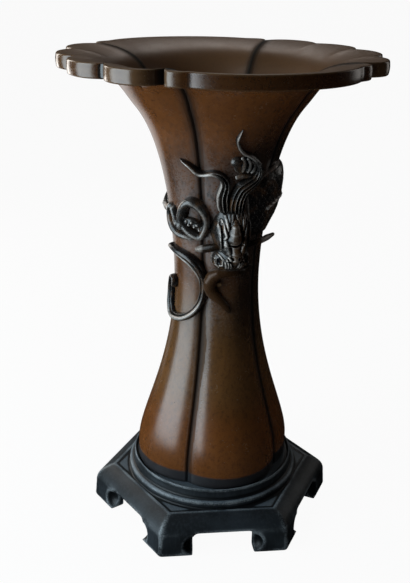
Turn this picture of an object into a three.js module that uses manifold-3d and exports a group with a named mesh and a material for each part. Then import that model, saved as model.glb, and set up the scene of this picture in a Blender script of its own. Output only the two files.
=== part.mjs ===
// Bronze flower vase with an applied dragon, standing loose in a hexagonal bronze stand.
// Millimetres, +Z up, origin on the floor under the middle of the stand, a flat side facing -Y.
// Angles are degrees about +Z, 0 at -Y and rising towards +X.
import * as THREE from 'three';
import { mergeVertices } from 'three/addons/utils/BufferGeometryUtils.js';
import Module from 'manifold-3d';

const wasm = await Module();
wasm.setup();

// Fits
const SEAM = 0.3;             // clearance between pieces that are soldered, riveted or rest on each other
const VASE_TURN = 15;         // how far the vase is turned in its round seat

// Stand
const FOOT_REACH = 70.6;      // corner radius at the floor
const TOE_EDGE = 0.9;         // rounding under the toes
const BULGE_SET = 0.9;        // how far the fullest part of the roll stays behind the foot
const BULGE_Z = 12;
const ARRIS_REACH = 58;       // corner radius of the crisp edge round the top
const ARRIS_Z = 21.9;
const ROLL_START = 32;        // degrees by which the roll already falls at the arris
const GUTTER_WIDTH = 1.2;     // shallow channel inside the arris
const GUTTER_DEPTH = 0.7;
const APRON_EDGE_Z = 13.8;    // lower edge of the apron between the legs
const STAND_WALL = 9;         // thickness of apron and legs
const SLAB_THICKNESS = 8;     // metal under the seat
const HOLLOW_FALL = 3;        // slope of the hollow under the slab
const SEAT_Z = 30;            // floor of the seat
const LIP_Z = 32.3;           // top of the ring round the seat
const LIP_WIDTH = 1.1;
const LIP_EDGE = 0.4;
const SEAT_PLAY = 1.1;        // room round the vase's foot
const MOUND_RADIUS = 49.3;    // low moulding outside the ring
const MOUND_Z = 25.6;
const MOUND_FALL = 0.9;       // from the ring's foot to the moulding's edge
const MOUND_EDGE = 0.4;
const OPENING_WIDTH = 33;     // between neighbouring legs
const OPENING_CORNER = 2.5;
const SCOOP_RADIUS = 5.6;     // hollow beside each toe
const SCOOP_Z = 6.4;

// Vase body
const VASE_HEIGHT = 229.7;
const WALL = 4;
const FOOT_RADIUS = 44.2;     // lobe crest at the foot
const FOOT_RISE = 10;         // straight part above the foot edge
const FOOT_CURL = 18;         // length of the lower curve's handle at the foot
const WAIST_RADIUS = 23.6;
const WAIST_RISE = 112;       // from the foot to the waist
const WAIST_EASE_DOWN = 52;   // handles of the profile at the waist
const WAIST_EASE_UP = 8;
const SHOULDER_RADIUS = 44.2; // where the neck opens into the flare
const SHOULDER_DROP = 26;     // below the rim
const SHOULDER_SLANT = 39;    // degrees from upright
const NECK_EASE = 30;
const FLARE_EASE = 16;
const FLARE_FLAT = 28;
const RIM_RADIUS = 82;        // at the scallop crests
const RIM_BAND = 7;           // height of the lip, to which the wall thickens on the flare
const RIM_LAND = 1.2;         // flat top of the lip
const GROOVE = 0.89;          // groove radius for a crest radius of one
const FRONT_HALF = 42.5;      // half angle of the front and back lobes
const SHOULDER_LOBE = 10.5;   // short rim lobe beside each groove of the front and back
const SIDE_SCALLOPS = 4;
const RIM_GROOVE = 0.86;      // rim radius at a groove, at a scallop notch and at a short lobe
const RIM_NOTCH = 0.918;
const RIM_SHORT = 0.955;
const SCALLOP_POWER = 2.6;    // roundness of the scallops

// Bottom plate let into the foot from below
const PLATE_THICKNESS = 3;
const PLATE_RISE = 3;         // foot edge to the plate
const LEDGE = 1.4;            // width of the ledge that the plate lies against

// Dragon
const HEAD_ANGLE = -6;
const CROWN_DROP = 74;        // from the rim to the crown of the head
const HEAD_LENGTH = 32;
const HEAD_HALF = 10.6;       // half width across the cheeks
const HEAD_RELIEF = 7;        // how far the skull stands off the wall, without the forms on it
const HEAD_EDGE = 0.6;        // thickness at the outline
const FORM_EDGE = 1.2;        // strip along the outline over which the forms die away
const WHISKER_WIDTH = 3.4;
const MANE_WIDTH = 9;
const MANE_RELIEF = 4.6;
const LOCK_WIDTH = 6.4;
const LOCK_RELIEF = 3.6;
const NECK_WIDTH = 34;        // dragon's own neck, behind its head
const NECK_RELIEF = 5.2;
const TAIL_WIDTH = 4;
const TAIL_RELIEF = 4;
const SCROLL_WIDTH = 4;
const SCROLL_RELIEF = 3.6;
const CLAW_TOE_WIDTH = 1.7;
const WRIST_WIDTH = 2.8;
const JAW_RELIEF = 5.4;
const JAW_EDGE = 0.8;         // thickness of the lip along its sides
const JAW_FOLD = 1.7;         // depth of the fold beside the rounded lobe
const JAW_BOW = 2.6;          // rise of the lip's upper edge
const SINK = 7;               // how deep an ornament's blank reaches before it is fitted to the wall

// Rivets from inside the vase
const SHANK_RADIUS = 1.1;
const RIVET_HEAD_RADIUS = 2.2;
const RIVET_HEAD_HEIGHT = 1.3;
const RIVET_BITE = 2;         // length of shank inside an ornament
const RIVET_PLAY = 0.3;

const VASE_Z = SEAT_Z + SEAM;
const RIM_Z = VASE_Z + VASE_HEIGHT;
const BULGE_REACH = FOOT_REACH - BULGE_SET;
const CROWN_Z = RIM_Z - CROWN_DROP;
const SIDE_HALF = 90 - FRONT_HALF;
const rad = THREE.MathUtils.degToRad;
const lerp = THREE.MathUtils.lerp;

// Materials
const bronze = (color, roughness) => new THREE.MeshStandardMaterial({ color, roughness, metalness: 1 });
const VASE_BRONZE = [0x6b3d1c, 0.35];
const ORNAMENT_BRONZE = [0x3b2a20, 0.4];
const STAND_BRONZE = [0x23272c, 0.5];
const RIVET_BRONZE = [0x7a4a24, 0.45];

// Points from an angle, a radius and a height
function polar(angle, radius, z) {
  return new THREE.Vector3(radius * Math.sin(rad(angle)), -radius * Math.cos(rad(angle)), z);
}

// Closed solid through rings of equally many points: a loop of rings, or a stack with both ends capped
function loft(rings, looped = false) {
  const count = rings[0].length;
  const points = rings.flat();
  const index = [];
  const bands = looped ? rings.length : rings.length - 1;
  for (let i = 0; i < bands; i++) {
    const next = (i + 1) % rings.length;
    for (let j = 0; j < count; j++) {
      const k = (j + 1) % count;
      const [a, b, c, d] = [i * count + j, i * count + k, next * count + j, next * count + k];
      index.push(a, b, d, a, d, c);
    }
  }
  if (!looped) {
    for (const [ring, step] of [[0, -1], [rings.length - 1, 1]]) {
      const centre = rings[ring].reduce((sum, p) => sum.add(p), new THREE.Vector3()).divideScalar(count);
      points.push(centre);
      for (let j = 0; j < count; j++) {
        const pair = [ring * count + j, ring * count + (j + 1) % count];
        index.push(points.length - 1, ...(step > 0 ? pair : pair.reverse()));
      }
    }
  }
  const geometry = new THREE.BufferGeometry().setFromPoints(points);
  geometry.setIndex(volume(points, index) < 0 ? index.reverse() : index);
  return geometry;
}

function volume(points, index) {
  const cross = new THREE.Vector3();
  let sum = 0;
  for (let i = 0; i < index.length; i += 3) {
    sum += points[index[i]].dot(cross.crossVectors(points[index[i + 1]], points[index[i + 2]]));
  }
  return sum;
}

// Solids for cutting and joining
function solid(geometry) {
  const bare = geometry.clone();
  bare.deleteAttribute('normal');
  bare.deleteAttribute('uv');
  const merged = mergeVertices(bare, 1e-4);
  return new wasm.Manifold(new wasm.Mesh({
    numProp: 3,
    vertProperties: new Float32Array(merged.attributes.position.array),
    triVerts: new Uint32Array(merged.index.array),
  }));
}

function node(name, body, [color, roughness]) {
  const { vertProperties, triVerts } = body.getMesh();
  const geometry = new THREE.BufferGeometry();
  geometry.setAttribute('position', new THREE.BufferAttribute(vertProperties.slice(), 3));
  geometry.setIndex(new THREE.BufferAttribute(triVerts.slice(), 1));
  geometry.computeVertexNormals();
  const mesh = new THREE.Mesh(geometry, bronze(color, roughness));
  mesh.name = name;
  return mesh;
}

const join = (...bodies) => bodies.reduce((sum, body) => sum.add(body));
const cut = (body, ...tools) => tools.reduce((rest, tool) => rest.subtract(tool), body);

// Lobed section of the vase: each lobe is an arc of a circle that ends on the grooves
function lobe(angle) {
  const turn = ((angle % 180) + 180) % 180;
  const [centre, half] = turn < FRONT_HALF ? [0, FRONT_HALF]
    : turn > 180 - FRONT_HALF ? [180, FRONT_HALF] : [90, SIDE_HALF];
  const offset = (1 - GROOVE ** 2) / (2 * (1 - GROOVE * Math.cos(rad(half))));
  const phi = rad(turn - centre);
  return offset * Math.cos(phi) + Math.sqrt((1 - offset) ** 2 - (offset * Math.sin(phi)) ** 2);
}

// Rim outline: the scallops of half a turn, each from one notch to the next
const sideScallop = 2 * SIDE_HALF / SIDE_SCALLOPS;
const frontMain = 2 * (FRONT_HALF - SHOULDER_LOBE);
const SCALLOPS = [];
function addScallop(width, peak, startNotch, endNotch, steps) {
  const last = SCALLOPS.at(-1);
  const from = last ? last.from + last.width : -FRONT_HALF;
  SCALLOPS.push({ from, width, peak, startNotch, endNotch, steps });
}
addScallop(SHOULDER_LOBE, RIM_SHORT, RIM_GROOVE, RIM_NOTCH, 2);
addScallop(frontMain, 1, RIM_NOTCH, RIM_NOTCH, 8);
addScallop(SHOULDER_LOBE, RIM_SHORT, RIM_NOTCH, RIM_GROOVE, 2);
for (let i = 0; i < SIDE_SCALLOPS; i++) {
  const startNotch = i === 0 ? RIM_GROOVE : RIM_NOTCH;
  const endNotch = i === SIDE_SCALLOPS - 1 ? RIM_GROOVE : RIM_NOTCH;
  addScallop(sideScallop, 1, startNotch, endNotch, 4);
}

function scallopPoint({ peak, startNotch, endNotch }, share) {
  const notch = lerp(startNotch, endNotch, share);
  return notch + (peak - notch) * (1 - Math.abs(2 * share - 1) ** SCALLOP_POWER);
}

// Section stations once round the vase: angle, lobe radius and rim radius, for a crest radius of one
const SECTION = [];
for (const start of [0, 180]) {
  for (const scallop of SCALLOPS) {
    for (let i = 0; i < scallop.steps; i++) {
      const share = i / scallop.steps;
      const angle = start + scallop.from + share * scallop.width;
      SECTION.push({ angle, lobe: lobe(angle), rim: scallopPoint(scallop, share) });
    }
  }
}

// Profile of the lobe crests, from the foot to the underside of the lip
const footTop = new THREE.Vector2(FOOT_RADIUS, VASE_Z + FOOT_RISE);
const waist = new THREE.Vector2(WAIST_RADIUS, VASE_Z + WAIST_RISE);
const shoulder = new THREE.Vector2(SHOULDER_RADIUS, RIM_Z - SHOULDER_DROP);
const lipFoot = new THREE.Vector2(RIM_RADIUS, RIM_Z - RIM_BAND);
const slant = new THREE.Vector2(Math.sin(rad(SHOULDER_SLANT)), Math.cos(rad(SHOULDER_SLANT)));
const along = (from, direction, length) => from.clone().addScaledVector(direction, length);
const upright = new THREE.Vector2(0, 1);
const lowerCurve = new THREE.CubicBezierCurve(
  footTop, along(footTop, upright, FOOT_CURL), along(waist, upright, -WAIST_EASE_DOWN), waist);
const neckCurve = new THREE.CubicBezierCurve(
  waist, along(waist, upright, WAIST_EASE_UP), along(shoulder, slant, -NECK_EASE), shoulder);
const level = new THREE.Vector2(1, 0);
const flareCurve = new THREE.CubicBezierCurve(
  shoulder, along(shoulder, slant, FLARE_EASE), along(lipFoot, level, -FLARE_FLAT), lipFoot);

// Stations of the wall: place on the outer crest line, place on the inner one, share of the rim outline
function wallStations(curve, steps, rimShare, thickness) {
  const stations = [];
  for (let i = 0; i < steps; i++) {
    const t = i / steps;
    const outer = curve.getPoint(t);
    const inward = curve.getTangent(t).rotateAround(new THREE.Vector2(), Math.PI / 2);
    stations.push({ outer, inner: along(outer, inward, thickness(t)), rim: rimShare(t) });
  }
  return stations;
}
const plain = () => 0;
const even = () => WALL;
const opening = (t) => THREE.MathUtils.smoothstep(t, 0.25, 1);
const thickening = (t) => lerp(WALL, RIM_BAND, t ** 2);
const WALL_STATIONS = [
  ...wallStations(lowerCurve, 5, plain, even),
  ...wallStations(neckCurve, 6, plain, even),
  ...wallStations(flareCurve, 5, opening, thickening),
];

// Ring round the vase with a crest radius, a height and a share of the rim outline
function vaseRing(crest, z, rim = 0, grown = 0) {
  return SECTION.map((s) => polar(s.angle, crest * lerp(s.lobe, s.rim, rim) + grown, z));
}

// Crest radius of the outer wall at a height, and its slope
const crestLine = WALL_STATIONS.map((s) => s.outer).concat(lipFoot);
function crestRadius(z) {
  const above = Math.max(1, crestLine.findIndex((p) => p.y >= z));
  const [low, high] = [crestLine[above - 1], crestLine[above]];
  return lerp(low.x, high.x, (z - low.y) / (high.y - low.y));
}
const crestSlope = (z) => (crestRadius(z + 2) - crestRadius(z - 2)) / 4;

// Vase body: outer wall, thick scalloped lip, inner wall and the foot with its ledge for the plate
function vaseBody() {
  const ledgeZ = VASE_Z + PLATE_RISE + PLATE_THICKNESS + SEAM;
  const innerFoot = FOOT_RADIUS - WALL;
  const rings = [vaseRing(FOOT_RADIUS, VASE_Z)];
  for (const { outer, rim } of WALL_STATIONS) rings.push(vaseRing(outer.x, outer.y, rim));
  rings.push(vaseRing(lipFoot.x, lipFoot.y, 1));
  rings.push(vaseRing(RIM_RADIUS, RIM_Z, 1));
  rings.push(vaseRing(RIM_RADIUS - RIM_LAND, RIM_Z, 1));
  const insideStations = WALL_STATIONS.filter(({ rim }, i) => rim > 0 || i % 2 === 0).reverse();
  for (const { inner, rim } of insideStations) rings.push(vaseRing(inner.x, inner.y, rim));
  rings.push(vaseRing(innerFoot, ledgeZ));
  rings.push(vaseRing(innerFoot + LEDGE, ledgeZ));
  rings.push(vaseRing(innerFoot + LEDGE, VASE_Z));
  return solid(loft(rings, true));
}

// The wall's outside grown by the seam, for fitting the ornaments to it
function wallTool() {
  const rings = WALL_STATIONS.map(({ outer, rim }) => vaseRing(outer.x, outer.y, rim, SEAM));
  return solid(loft(rings));
}

function bottomPlate() {
  const radius = FOOT_RADIUS - WALL + LEDGE;
  const low = VASE_Z + PLATE_RISE;
  return solid(loft([vaseRing(radius, low, 0, -SEAM), vaseRing(radius, low + PLATE_THICKNESS, 0, -SEAM)]));
}

// Stand: hexagonal below, round at the seat; each ring has a corner radius, a height and a share of hexagon
const STAND_STEPS = 36;
function standRing(reach, z, hexagon) {
  const ring = [];
  for (let i = 0; i < STAND_STEPS; i++) {
    const angle = i * 360 / STAND_STEPS;
    const fromFlat = (angle + 30) % 60 - 30;
    const side = Math.cos(rad(30)) / Math.cos(rad(fromFlat));
    ring.push(polar(angle, reach * lerp(1, side, hexagon), z));
  }
  return ring;
}

function stand() {
  const seatRadius = FOOT_RADIUS + SEAT_PLAY;
  const lipRadius = seatRadius + LIP_WIDTH;
  const hollowReach = FOOT_REACH - STAND_WALL / Math.cos(rad(30));
  const ceiling = SEAT_Z - SLAB_THICKNESS;
  const rings = [
    standRing(seatRadius / 2, SEAT_Z, 0),
    standRing(seatRadius, SEAT_Z, 0),
    standRing(seatRadius, LIP_Z - LIP_EDGE, 0),
    standRing(seatRadius + LIP_EDGE, LIP_Z, 0),
    standRing(lipRadius - LIP_EDGE, LIP_Z, 0),
    standRing(lipRadius, LIP_Z - LIP_EDGE, 0),
    standRing(lipRadius, MOUND_Z + MOUND_FALL, 0),
    standRing(MOUND_RADIUS - MOUND_EDGE, MOUND_Z, 0),
    standRing(MOUND_RADIUS, MOUND_Z - MOUND_EDGE, 0),
    standRing(MOUND_RADIUS, ARRIS_Z - GUTTER_DEPTH, 0),
    standRing(ARRIS_REACH - GUTTER_WIDTH, ARRIS_Z - GUTTER_DEPTH, 1),
    standRing(ARRIS_REACH, ARRIS_Z, 1),
  ];
  // Rolled side: part of an ellipse from the arris out to the fullest place, then straight to the foot
  const rollSteps = 4;
  const first = rad(ROLL_START);
  for (let i = 1; i <= rollSteps; i++) {
    const turn = lerp(first, Math.PI / 2, i / rollSteps);
    const outward = (Math.sin(turn) - Math.sin(first)) / (1 - Math.sin(first));
    const reach = lerp(ARRIS_REACH, BULGE_REACH, outward);
    rings.push(standRing(reach, lerp(BULGE_Z, ARRIS_Z, Math.cos(turn) / Math.cos(first)), 1));
  }
  rings.push(
    standRing(FOOT_REACH, TOE_EDGE, 1),
    standRing(FOOT_REACH - TOE_EDGE, 0, 1),
    standRing(hollowReach, 0, 1),
    standRing(hollowReach, APRON_EDGE_Z, 1),
    standRing(ARRIS_REACH - STAND_WALL, ceiling - HOLLOW_FALL, 1),
    standRing(seatRadius / 2, ceiling, 0),
  );
  return cut(solid(loft(rings)), ...legCuts());
}

// Openings between the legs, and the hollow scooped beside each toe
function legCuts() {
  const half = OPENING_WIDTH / 2;
  const top = APRON_EDGE_Z;
  const gate = new THREE.Shape();
  gate.moveTo(-half, -top);
  gate.lineTo(half, -top);
  gate.lineTo(half, top - OPENING_CORNER);
  gate.absarc(half - OPENING_CORNER, top - OPENING_CORNER, OPENING_CORNER, 0, Math.PI / 2);
  gate.lineTo(OPENING_CORNER - half, top);
  gate.absarc(OPENING_CORNER - half, top - OPENING_CORNER, OPENING_CORNER, Math.PI / 2, Math.PI);
  gate.closePath();
  const depth = FOOT_REACH;
  const outline = new THREE.ExtrudeGeometry(gate, { depth, bevelEnabled: false, curveSegments: 3 });
  outline.rotateX(Math.PI / 2);
  const face = FOOT_REACH * Math.cos(rad(30));
  const scoop = new THREE.SphereGeometry(SCOOP_RADIUS, 8, 6);
  const cuts = [];
  for (let side = 0; side < 6; side++) {
    const turn = rad(60 * side);
    cuts.push(solid(outline.clone().translate(0, -hollowStart(), 0).rotateZ(turn)));
    for (const edge of [-half, half]) {
      cuts.push(solid(scoop.clone().translate(edge, -face, SCOOP_Z).rotateZ(turn)));
    }
  }
  return cuts;
}
const hollowStart = () => FOOT_REACH * Math.cos(rad(30)) - 2 * STAND_WALL;

// Ornaments lie at places on the wall: angle, height above the dragon's crown and lift off the wall.
// The wall is taken smoothed over the grooves
function wallPoint([angle, rise, lift = 0]) {
  const z = CROWN_Z + rise;
  const smooth = lerp(lobe(angle), 1, 0.5);
  return polar(angle, crestRadius(z) * smooth + lift, z);
}
function wallNormal(point) {
  const out = new THREE.Vector3(point.x, point.y, 0).normalize();
  out.z = -crestSlope(point.z);
  return out.normalize();
}

// Cross-sections in half widths and reliefs: ridged hair, and a rounded back
function ridged(ridges) {
  const section = [[-1, 0.35]];
  for (let i = 0; i < ridges; i++) {
    const peak = (2 * i + 1) / ridges - 1;
    section.push([peak, 1 - 0.25 * peak ** 2]);
    const valley = (2 * i + 2) / ridges - 1;
    if (i < ridges - 1) section.push([valley, 0.6 - 0.15 * valley ** 2]);
  }
  section.push([1, 0.35]);
  return section;
}
function rounded(steps) {
  const section = [];
  for (let i = 0; i <= steps; i++) {
    const turn = Math.PI * (1 - i / steps);
    section.push([Math.cos(turn), Math.max(0.12, Math.sin(turn) ** 0.8)]);
  }
  return section;
}

// A value that runs evenly through a list of chosen ones
function runThrough(values, t) {
  const place = t * (values.length - 1);
  const i = Math.min(Math.floor(place), values.length - 2);
  return lerp(values[i], values[i + 1], place - i);
}

// Strand laid along wall places: widths and reliefs run along it as shares of its greatest width and relief
function strand(form, grown = 0) {
  const { places, section, width, relief, widths, reliefs, steps, looped = false, sink = SINK } = form;
  const path = new THREE.CatmullRomCurve3(places.map(wallPoint), looped, 'centripetal');
  const rings = [];
  const count = looped ? steps - 1 : steps;
  for (let i = 0; i <= count; i++) {
    const t = i / steps;
    const point = path.getPointAt(t);
    const ahead = path.getTangentAt(t);
    const side = new THREE.Vector3().crossVectors(ahead, wallNormal(point)).normalize();
    const out = new THREE.Vector3().crossVectors(side, ahead);
    const half = width / 2 * runThrough(widths, t) + grown;
    const high = relief * runThrough(reliefs, t) + grown;
    const place = (b, n) => point.clone().addScaledVector(side, b).addScaledVector(out, n);
    const top = section.map(([b, n]) => place(b * half, n * high));
    const base = sink ? [place(half, -sink), place(-half, -sink)]
      : section.slice(1, -1).reverse().map(([b, n]) => place(b * half, -n * high - grown));
    rings.push([...top, ...base]);
  }
  return solid(loft(rings, looped));
}

// Hair: a broad lock rising from the crown and curling round the claw, and a narrow lock to the left
const MANE = {
  places: [[-3, -2], [-3.7, 5], [-0.5, 11.3], [5.3, 14.2], [11.2, 17], [13.3, 20.4], [11.9, 24],
    [7.6, 27.2], [1.4, 30], [-4.4, 31.8], [-8.1, 34.6], [-10, 38], [-7.5, 43.5]],
  section: ridged(5), width: MANE_WIDTH, relief: MANE_RELIEF, steps: 20,
  widths: [0.98, 1, 0.96, 0.88, 0.68, 0.47, 0.35, 0.28, 0.26, 0.22, 0.08],
  reliefs: [1, 1, 1, 1, 0.95, 0.85, 0.75, 0.65, 0.6, 0.5, 0.25],
};
const LEFT_LOCK = {
  places: [[-16, -1], [-18.2, 3.5], [-18.8, 8], [-17, 15.7], [-21, 19], [-26.7, 20.3], [-40.7, 19.3],
    [-51, 23.2], [-59.5, 25.8]],
  section: ridged(3), width: LOCK_WIDTH, relief: LOCK_RELIEF, steps: 17,
  widths: [0.8, 1, 1, 0.84, 0.68, 0.46, 0.42, 0.4, 0.3, 0.06],
  reliefs: [1, 1, 1, 1, 0.95, 0.9, 0.85, 0.8, 0.6, 0.3],
};

// Dragon's neck and back, from behind the head round the far side to the tail
const BACK = {
  places: [[12, -3], [30, -1], [48, 1.5], [66, 3.5], [95, 3], [130, 1.5], [165, -0.5], [200, -2],
    [230, -3], [256, -4], [267, -4.5]],
  section: rounded(6), width: NECK_WIDTH, relief: NECK_RELIEF, steps: 20,
  widths: [0.75, 1, 1, 0.98, 0.82, 0.66, 0.54, 0.44, 0.34, 0.22, 0.13],
  reliefs: [0.8, 0.9, 0.95, 1, 1.1, 1.15, 1.1, 1, 0.9, 0.65, 0.45],
};

// Tail: a ring with a bar across it, a strand tied to it, and an S with a hooked end
const TAIL = { section: rounded(6), width: TAIL_WIDTH, relief: TAIL_RELIEF };
const TAIL_RING = {
  ...TAIL, steps: 18, looped: true, widths: [1, 1], reliefs: [1, 1],
  places: [[-53, 3.3], [-45, 1.9], [-38, -1.7], [-35, -6], [-37, -10.7], [-43, -15], [-53, -13.9],
    [-60, -11.5], [-66, -8], [-64, -2.6], [-59, 1.7]],
};
const RING_BAR = {
  ...TAIL, steps: 6, widths: [0.7, 0.6, 0.6], reliefs: [0.7, 0.6, 0.6],
  places: [[-63, -10], [-54, -9], [-45, -10.4], [-38, -12]],
};
const TAIL_TIE = {
  ...TAIL, steps: 9, widths: [1.1, 1, 1, 1, 1, 0.9, 0.6], reliefs: [0.7, 0.7, 0.8, 0.9, 0.9, 0.8, 0.5],
  places: [[-82, -0.5], [-87, -3.5], [-89, -7], [-87, -11], [-80, -14], [-71, -15.7], [-60, -16.4],
    [-52, -17.4]],
};
const TAIL_KNOT = {
  ...TAIL, steps: 6, widths: [0.9, 0.8, 0.8, 1.1, 1.2], reliefs: [0.7, 0.75, 0.85, 1, 1.15],
  places: [[-81, -1], [-78, -4], [-75, -6.6], [-70, -8.8, 0.6], [-65, -10.2, 1.2]],
};
const tailRing = (grown = 0) => join(strand(TAIL_RING, grown), strand(RING_BAR, grown));
const tailTie = (grown = 0) => join(strand(TAIL_TIE, grown), strand(TAIL_KNOT, grown));
const TAIL_SCROLL = {
  places: [[-97, -25], [-82.6, -26], [-68.4, -27.4], [-56.7, -29.6], [-48, -33], [-41, -38], [-39, -43],
    [-40.6, -49.3], [-46.3, -55], [-56.4, -60], [-70, -63.4], [-87, -64], [-97, -59.5], [-98.5, -54],
    [-97, -47.5], [-91.5, -43], [-86.5, -44], [-87.5, -48.5]],
  section: ridged(2), width: SCROLL_WIDTH, relief: SCROLL_RELIEF, steps: 28,
  widths: [0.95, 1.2, 1.45, 1.5, 1.2, 0.92, 0.82, 0.85, 0.9, 1, 1.1, 1.05, 0.95, 0.85, 0.65],
  reliefs: [1, 1],
};

// Whiskers: pointed rods let into the cheeks; their heights are above the chin
const WHISKER = { section: rounded(6), width: WHISKER_WIDTH, relief: WHISKER_WIDTH / 2, steps: 6, sink: 0 };
const fromChin = ([angle, rise, lift]) => [angle, rise - HEAD_LENGTH, lift];
const WHISKER_LEFT = {
  ...WHISKER, widths: [1, 1.05, 0.95, 0.4], reliefs: [1, 1.05, 0.95, 0.4],
  places: [[-14, 13.4, 3.2], [-24, 13, 3.6], [-36, 11.6, 3.6], [-47.5, 10.2, 3]].map(fromChin),
};
const WHISKER_RIGHT = {
  ...WHISKER, widths: [0.9, 0.9, 0.95, 0.5], reliefs: [0.9, 0.9, 0.95, 0.5],
  places: [[4, 13.4, 3.2], [24, 13.8, 4.2], [42, 13.8, 5], [60, 13.2, 5.8]].map(fromChin),
};

// Claw: a palm with a knob, three curled toes and the wrist below them
const PALM = { place: [-1, 25.5, 0.2], sizes: [5, 2.6, 4.6] };
const KNOB = { place: [-8.6, 26, 0.9], sizes: [3, 2.3, 2.8] };
const TOES = [
  [[-4.8, 29.2, 1.8], [-1.9, 26.9, 3], [-1.6, 23.8, 2.2]],
  [[-1.4, 28, 1.6], [1.5, 25.9, 2.8], [1.9, 23.2, 2.2]],
  [[2, 26.6, 1.4], [4.8, 24.8, 2.2], [4.8, 22.6, 1.8]],
];
const WRIST = [[-8, 18.7, 0.4], [-2, 20.2, 0.8], [5.2, 20.6, 0.8], [9.5, 21.6, 0.4]];
function lump({ place, sizes }) {
  const geometry = new THREE.SphereGeometry(1, 8, 6).scale(...sizes);
  geometry.rotateX(Math.atan(crestSlope(CROWN_Z + place[1]))).rotateZ(rad(place[0]));
  return solid(geometry.translate(...wallPoint(place).toArray()));
}
function claw() {
  const rod = (places, width, shares) => strand({
    places, width, relief: width / 2, section: rounded(4), steps: 4, widths: shares, reliefs: shares,
  });
  const toes = TOES.map((places) => rod(places, CLAW_TOE_WIDTH, [0.85, 1.2, 0.75]));
  return join(lump(PALM), lump(KNOB), rod(WRIST, WRIST_WIDTH, [0.65, 1, 1, 0.6]), ...toes);
}

// Head: a mask that stands on the wall, in rows from the crown to the upper lip
const headOrigin = wallPoint([HEAD_ANGLE, -HEAD_LENGTH / 2]);
const headRadius = Math.hypot(headOrigin.x, headOrigin.y);
const headOut = polar(HEAD_ANGLE, 1, 0);
const headSide = polar(HEAD_ANGLE + 90, 1, 0);
function headPoint(across, out, down) {
  const point = headOrigin.clone().addScaledVector(headSide, across).addScaledVector(headOut, out);
  point.z = CROWN_Z - down;
  return point;
}
const HEAD_OUTLINE = [0.62, 0.84, 0.96, 1, 0.98, 0.86, 0.8, 0.94, 0.92, 0.66];
const HEAD_HEIGHTS = [0.35, 0.85, 1, 1, 1, 0.98, 1, 1, 0.85, 0.3];

// Forms on the face, alike on both sides: route in half widths across and lengths down, half width, rise
const HEAD_FORMS = {
  nose: { route: [[0, 0.17], [0, 0.42]], half: 4.6, rise: 3.2 },
  noseTip: { route: [[0, 0.58], [0, 0.7]], half: 2.8, rise: 3 },
  noseFold: { route: [[0.49, 0.45], [0.38, 0.53], [0.23, 0.63]], half: 1.7, rise: 2.4 },
  brow: { route: [[0.77, 0.14], [0.82, 0.21], [0.74, 0.31], [0.7, 0.38]], half: 1.5, rise: 2.2 },
  cheek: { route: [[0.78, 0.27], [0.93, 0.34], [0.87, 0.46], [0.7, 0.57]], half: 1.7, rise: 2 },
  lip: { route: [[0.3, 0.81], [0.28, 0.87]], half: 2.3, rise: 1.6 },
  tusk: { route: [[0.8, 0.78], [0.76, 0.84]], half: 1.7, rise: 2 },
};
function routeDistance(point, route) {
  const stops = route.map(([across, down]) => new THREE.Vector3(across * HEAD_HALF, down * HEAD_LENGTH, 0));
  const near = new THREE.Vector3();
  const distances = stops.slice(1).map((stop, i) => {
    new THREE.Line3(stops[i], stop).closestPointToPoint(point, true, near);
    return near.distanceTo(point);
  });
  return Math.min(...distances);
}
function formRise(across, down) {
  const point = new THREE.Vector3(Math.abs(across), down, 0);
  const rises = Object.values(HEAD_FORMS).map(({ route, half, rise }) =>
    rise * Math.max(0, 1 - (routeDistance(point, route) / half) ** 2) ** 0.8);
  return Math.max(...rises);
}
function head(grown = 0) {
  const rows = 15;
  const columns = 14;
  const rings = [];
  for (let i = 0; i <= rows; i++) {
    const t = i / rows;
    const half = HEAD_HALF * runThrough(HEAD_OUTLINE, t);
    const high = HEAD_RELIEF * runThrough(HEAD_HEIGHTS, t);
    const down = lerp(-grown, HEAD_LENGTH + grown, t);
    const fromEnds = Math.min(t, 1 - t) * HEAD_LENGTH;
    const ring = [];
    for (let j = 0; j <= columns; j++) {
      const s = Math.sin(Math.PI * (j / columns - 0.5));
      const across = s * half;
      const wall = Math.sqrt(headRadius ** 2 - across ** 2) - headRadius;
      const arch = high * (1 - Math.abs(s) ** 2.6) ** 0.7;
      const fade = Math.min(1, (half - Math.abs(across)) / FORM_EDGE) * Math.min(1, fromEnds / FORM_EDGE);
      const out = wall + HEAD_EDGE + arch + fade * formRise(across, t * HEAD_LENGTH);
      ring.push(headPoint(s * (half + grown), out + grown, down));
    }
    ring.push(headPoint(half + grown, -SINK, down), headPoint(-half - grown, -SINK, down));
    rings.push(ring);
  }
  return solid(loft(rings));
}

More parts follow.
